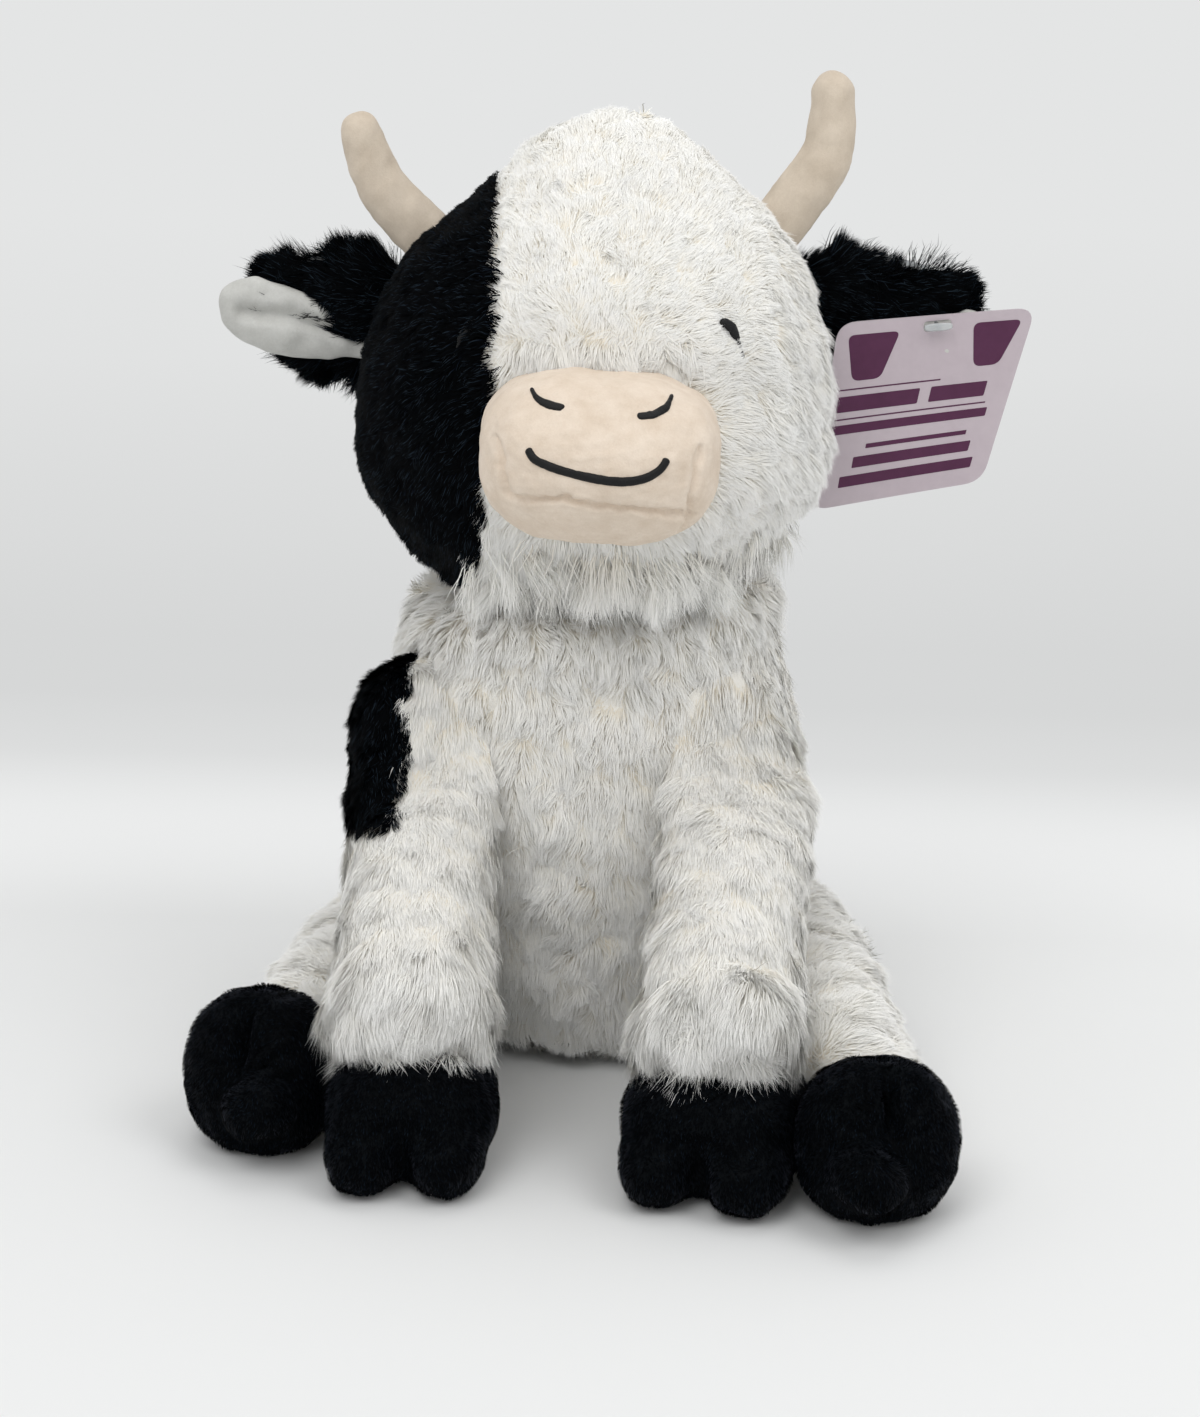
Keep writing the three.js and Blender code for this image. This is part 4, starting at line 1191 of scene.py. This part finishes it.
def hind_leg_pieces():
    for side, name in SIDES:
        body = "hind_leg_" + name
        skin = hind_legs[side]
        piece("hind_leg_skin_" + name, body, skin, WHITE_BACKING, slot="white_plush",
              replaces=(body,), fill=0.75)
        comb = all_along(skin, side * 0.7, 0.35, -0.5)
        weight = 1 - covered(skin, torso, front_legs[side], hind_hooves[side])
        weight = weight * smooth(skin.co[:, 2], 1.0, 4.0)
        pile("hind_leg_pile_" + name, body, skin, WHITE_PILE, STRANDS, 9.0, 0.34, 0.32, 3.4,
             130 + side, comb, weight=weight, droop=0.15, pull=0.35, layers=2)
        piece("hind_hoof_skin_" + name, body, hind_hooves[side], BLACK_VELBOA, slot="black_velour",
              replaces=("hind_hoof_" + name,), fill=0.85)
        nap("hind_hoof_nap_" + name, body, hind_hooves[side], 165 + side,
            1 - covered(hind_hooves[side], skin, front_hooves[side], depth=1.0, reach=0.0))


def tail_pieces():
    skin = stuffed([[0, 68, 70], [0, 86, 52], [0, 88, 24]], 4.6, [1, 0.9, 1], (4.6, 4.6), (1, 0, 0),
                   sides=24, rings=40, grow=-1.6)
    kept_out(skin, torso, 0.8)
    piece("tail_skin", "tail", skin, WHITE_BACKING, slot="white_plush", replaces=("tail",), fill=0.7)
    comb = skin.route.along(np.clip(skin.t, 0.02, 0.98))
    pile("tail_pile", "tail", skin, WHITE_PILE, 14000, 7.0, 0.32, 0.42, 2.4, 170, comb,
         weight=1 - covered(skin, torso))
    tuft = pad(19, 19, 30, 2.6, 36, 30)
    tuft.co += (0, 88, 15.5)
    tuft.swelled(-2.5)
    flattened(tuft, 0.4)
    piece("tuft_skin", "tail", tuft, BLACK_BACKING, slot="black_plush", replaces=("tail_tuft",), fill=0.6)
    pile("tuft_pile", "tail", tuft, BLACK_PILE, 16000, 9.0, 0.36, 0.42, 2.6, 171,
         all_along(tuft, 0, 0.2, -1), strand=LONG_STRAND)


def ringed(profile, sides):
    """A closed turned surface about +Z from [radius, height] pairs that start and end on the axis."""
    corners = [(0, 0, profile[0][1])]
    for radius, level in profile[1:-1]:
        turns = [2 * math.pi * s / sides for s in range(sides)]
        corners += [(radius * math.cos(turn), radius * math.sin(turn), level) for turn in turns]
    corners.append((0, 0, profile[-1][1]))
    return Skin(corners, ball_faces(len(profile) - 1, sides))


def seat_pieces():
    profile = [
        (0, 0.05), (20, 0.05), (38, 0.05), (42.5, 0.4), (44, 1.6), (43.4, 3.0), (41, 3.7), (20, 3.9), (0, 3.9),
    ]
    disc = ringed(profile, 96)
    disc.swelled(0.12 * waves(disc.co, 9, 180) * smooth(disc.co[:, 2], 0.2, 1))
    piece("seat_felt_disc", "torso", disc, FELT, slot="seat_felt", replaces=("seat_panel",), fill=0.3)
    for node, material in (
        ("squeaker_bulb", BULB),
        ("squeaker_reed", CLEAR),
        ("crinkle_film_right", CLEAR),
        ("crinkle_film_left", CLEAR),
    ):
        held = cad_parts[node]
        held.data.materials.clear()
        held.data.materials.append(material)


TAG_CORNERS = [(75.5, 229.2), (137.8, 234.2), (123, 178), (68, 168.5)]
TAG_FRONT, TAG_THICK = -0.2, 0.8
TAG_CUTS = 2.2 * 3  # mm between the cuts that let the card bow
# Generic blocks and lines: name, shares across and down the card, corner radius
TAG_PRINTS = (
    ("left", (0.06, 0.07, 0.33, 0.32), 2.4),
    ("right", (0.7, 0.06, 0.95, 0.31), 2.4),
    ("band", (0.04, 0.555, 0.9, 0.605), 0.4),
    ("line_top", (0.06, 0.36, 0.6, 0.368), 0.1),
    ("block_a", (0.06, 0.4, 0.5, 0.485), 0.5),
    ("block_b", (0.56, 0.4, 0.86, 0.485), 0.5),
    ("line_high", (0.06, 0.52, 0.88, 0.528), 0.1),
    ("line_low", (0.26, 0.675, 0.82, 0.7), 0.2),
    ("block_c", (0.2, 0.74, 0.86, 0.8), 0.4),
    ("block_d", (0.14, 0.84, 0.9, 0.9), 0.4),
)


def tag_plate(outline, front, thick, hole=None):
    """A thin plate in the tag's plane, a little bowed, as a grid cut to an outline."""
    made = bmesh.new()
    ring = [made.verts.new((x, 0, z)) for x, z in outline]
    edges = [made.edges.new((a, b)) for a, b in zip(ring, ring[1:] + ring[:1])]
    if hole:
        inner = [made.verts.new((x, 0, z)) for x, z in hole]
        edges += [made.edges.new((a, b)) for a, b in zip(inner, inner[1:] + inner[:1])]
    bmesh.ops.triangle_fill(made, use_beauty=True, use_dissolve=False, edges=edges)
    for axis, (low, high) in ((0, (66, 140)), (2, (170, 240))):
        for k in np.arange(low, high, TAG_CUTS):
            point, aim = [0.0, 0.0, 0.0], [0.0, 0.0, 0.0]
            point[axis], aim[axis] = float(k), 1.0
            everything = made.verts[:] + made.edges[:] + made.faces[:]
            bmesh.ops.bisect_plane(made, geom=everything, plane_co=point, plane_no=aim)
    bmesh.ops.recalc_face_normals(made, faces=made.faces[:])
    made.verts.index_update()
    flat = np.array([v.co[:] for v in made.verts])
    faces = [tuple(v.index for v in f.verts) for f in made.faces]
    if made.faces[0].normal.y > 0:
        faces = [tuple(reversed(f)) for f in faces]
    made.free()
    bow = 0.9 * ((flat[:, 0] - 104) / 33) ** 2 + 0.4 * ((flat[:, 2] - 205) / 31) ** 2
    top = flat + np.stack([0 * bow, front - bow, 0 * bow], 1)
    low = top + (0, thick, 0)
    return head_turned(Skin(np.concatenate([top, low]), closed_shell(faces, len(flat))))


def rounded(corners, radius, steps=7):
    out = []
    for i, corner in enumerate(corners):
        here = np.array(corner, float)
        before, after = np.array(corners[i - 1], float), np.array(corners[(i + 1) % len(corners)], float)
        a = here + unit(before - here) * radius
        b = here + unit(after - here) * radius
        for k in range(steps + 1):
            t = k / steps
            out.append(tuple(a * (1 - t) ** 2 + here * 2 * t * (1 - t) + b * t * t))
    return out


def tag_pieces():
    slot_hole = rounded([(102.6, 226.2), (102.6, 229.6), (111.4, 230.4), (111.4, 227.0)], 1.3, 4)
    card = tag_plate(rounded(TAG_CORNERS, 6), TAG_FRONT, TAG_THICK, hole=slot_hole)
    piece("tag_card", "tag", card, CARD, slot="tag_card", replaces=("hang_tag",), flat=True)

    def at(u, v):
        """A place on the card from shares across and down it."""
        a, b, c, d = (np.array(p, float) for p in TAG_CORNERS)
        return tuple((a * (1 - u) + b * u) * (1 - v) + (d * (1 - u) + c * u) * v)

    for name, (u0, v0, u1, v1), radius in TAG_PRINTS:
        inset = 0.06 if v1 < 0.35 else 0.0
        outline = rounded([at(u0, v0), at(u1, v0), at(u1 - inset, v1), at(u0 + inset, v1)], radius, 5)
        plate = tag_plate(outline, TAG_FRONT - 0.05, 0.1)
        piece("tag_print_" + name, "tag", plate, CARD_PRINT, slot="tag_card", flat=True)

    # The fastener: a thin shank through the ear, with a flat bar in front of the card and one behind the ear
    shank = stuffed([[107, -3.2, 228.3], [107, 9, 228.2], [107, 22, 228]], 0.8, [1, 1, 1], (0.8, 0.8),
                    (0, 0, 1), sides=16, rings=30)
    bar = pad(9.0, 1.3, 2.4, 3.5, 40, 24)
    bar.co = turned_about(bar.co, -5, 1) + (107, -2.9, 228.3)
    stop = pad(6.0, 1.3, 6.0, 3.2, 40, 24)
    stop.co += (107, 20.2, 228)
    pin = head_turned(joined(shank, bar, stop))
    piece("tag_fastener", "ear_left", pin, CLEAR, slot="clear_plastic", replaces=("tag_pin",))


stage()
torso_pieces()
head_pieces()
muzzle_pieces()
eye_pieces()
horn_pieces()
ear_pieces()
front_leg_pieces()
hind_leg_pieces()
tail_pieces()
seat_pieces()
tag_pieces()
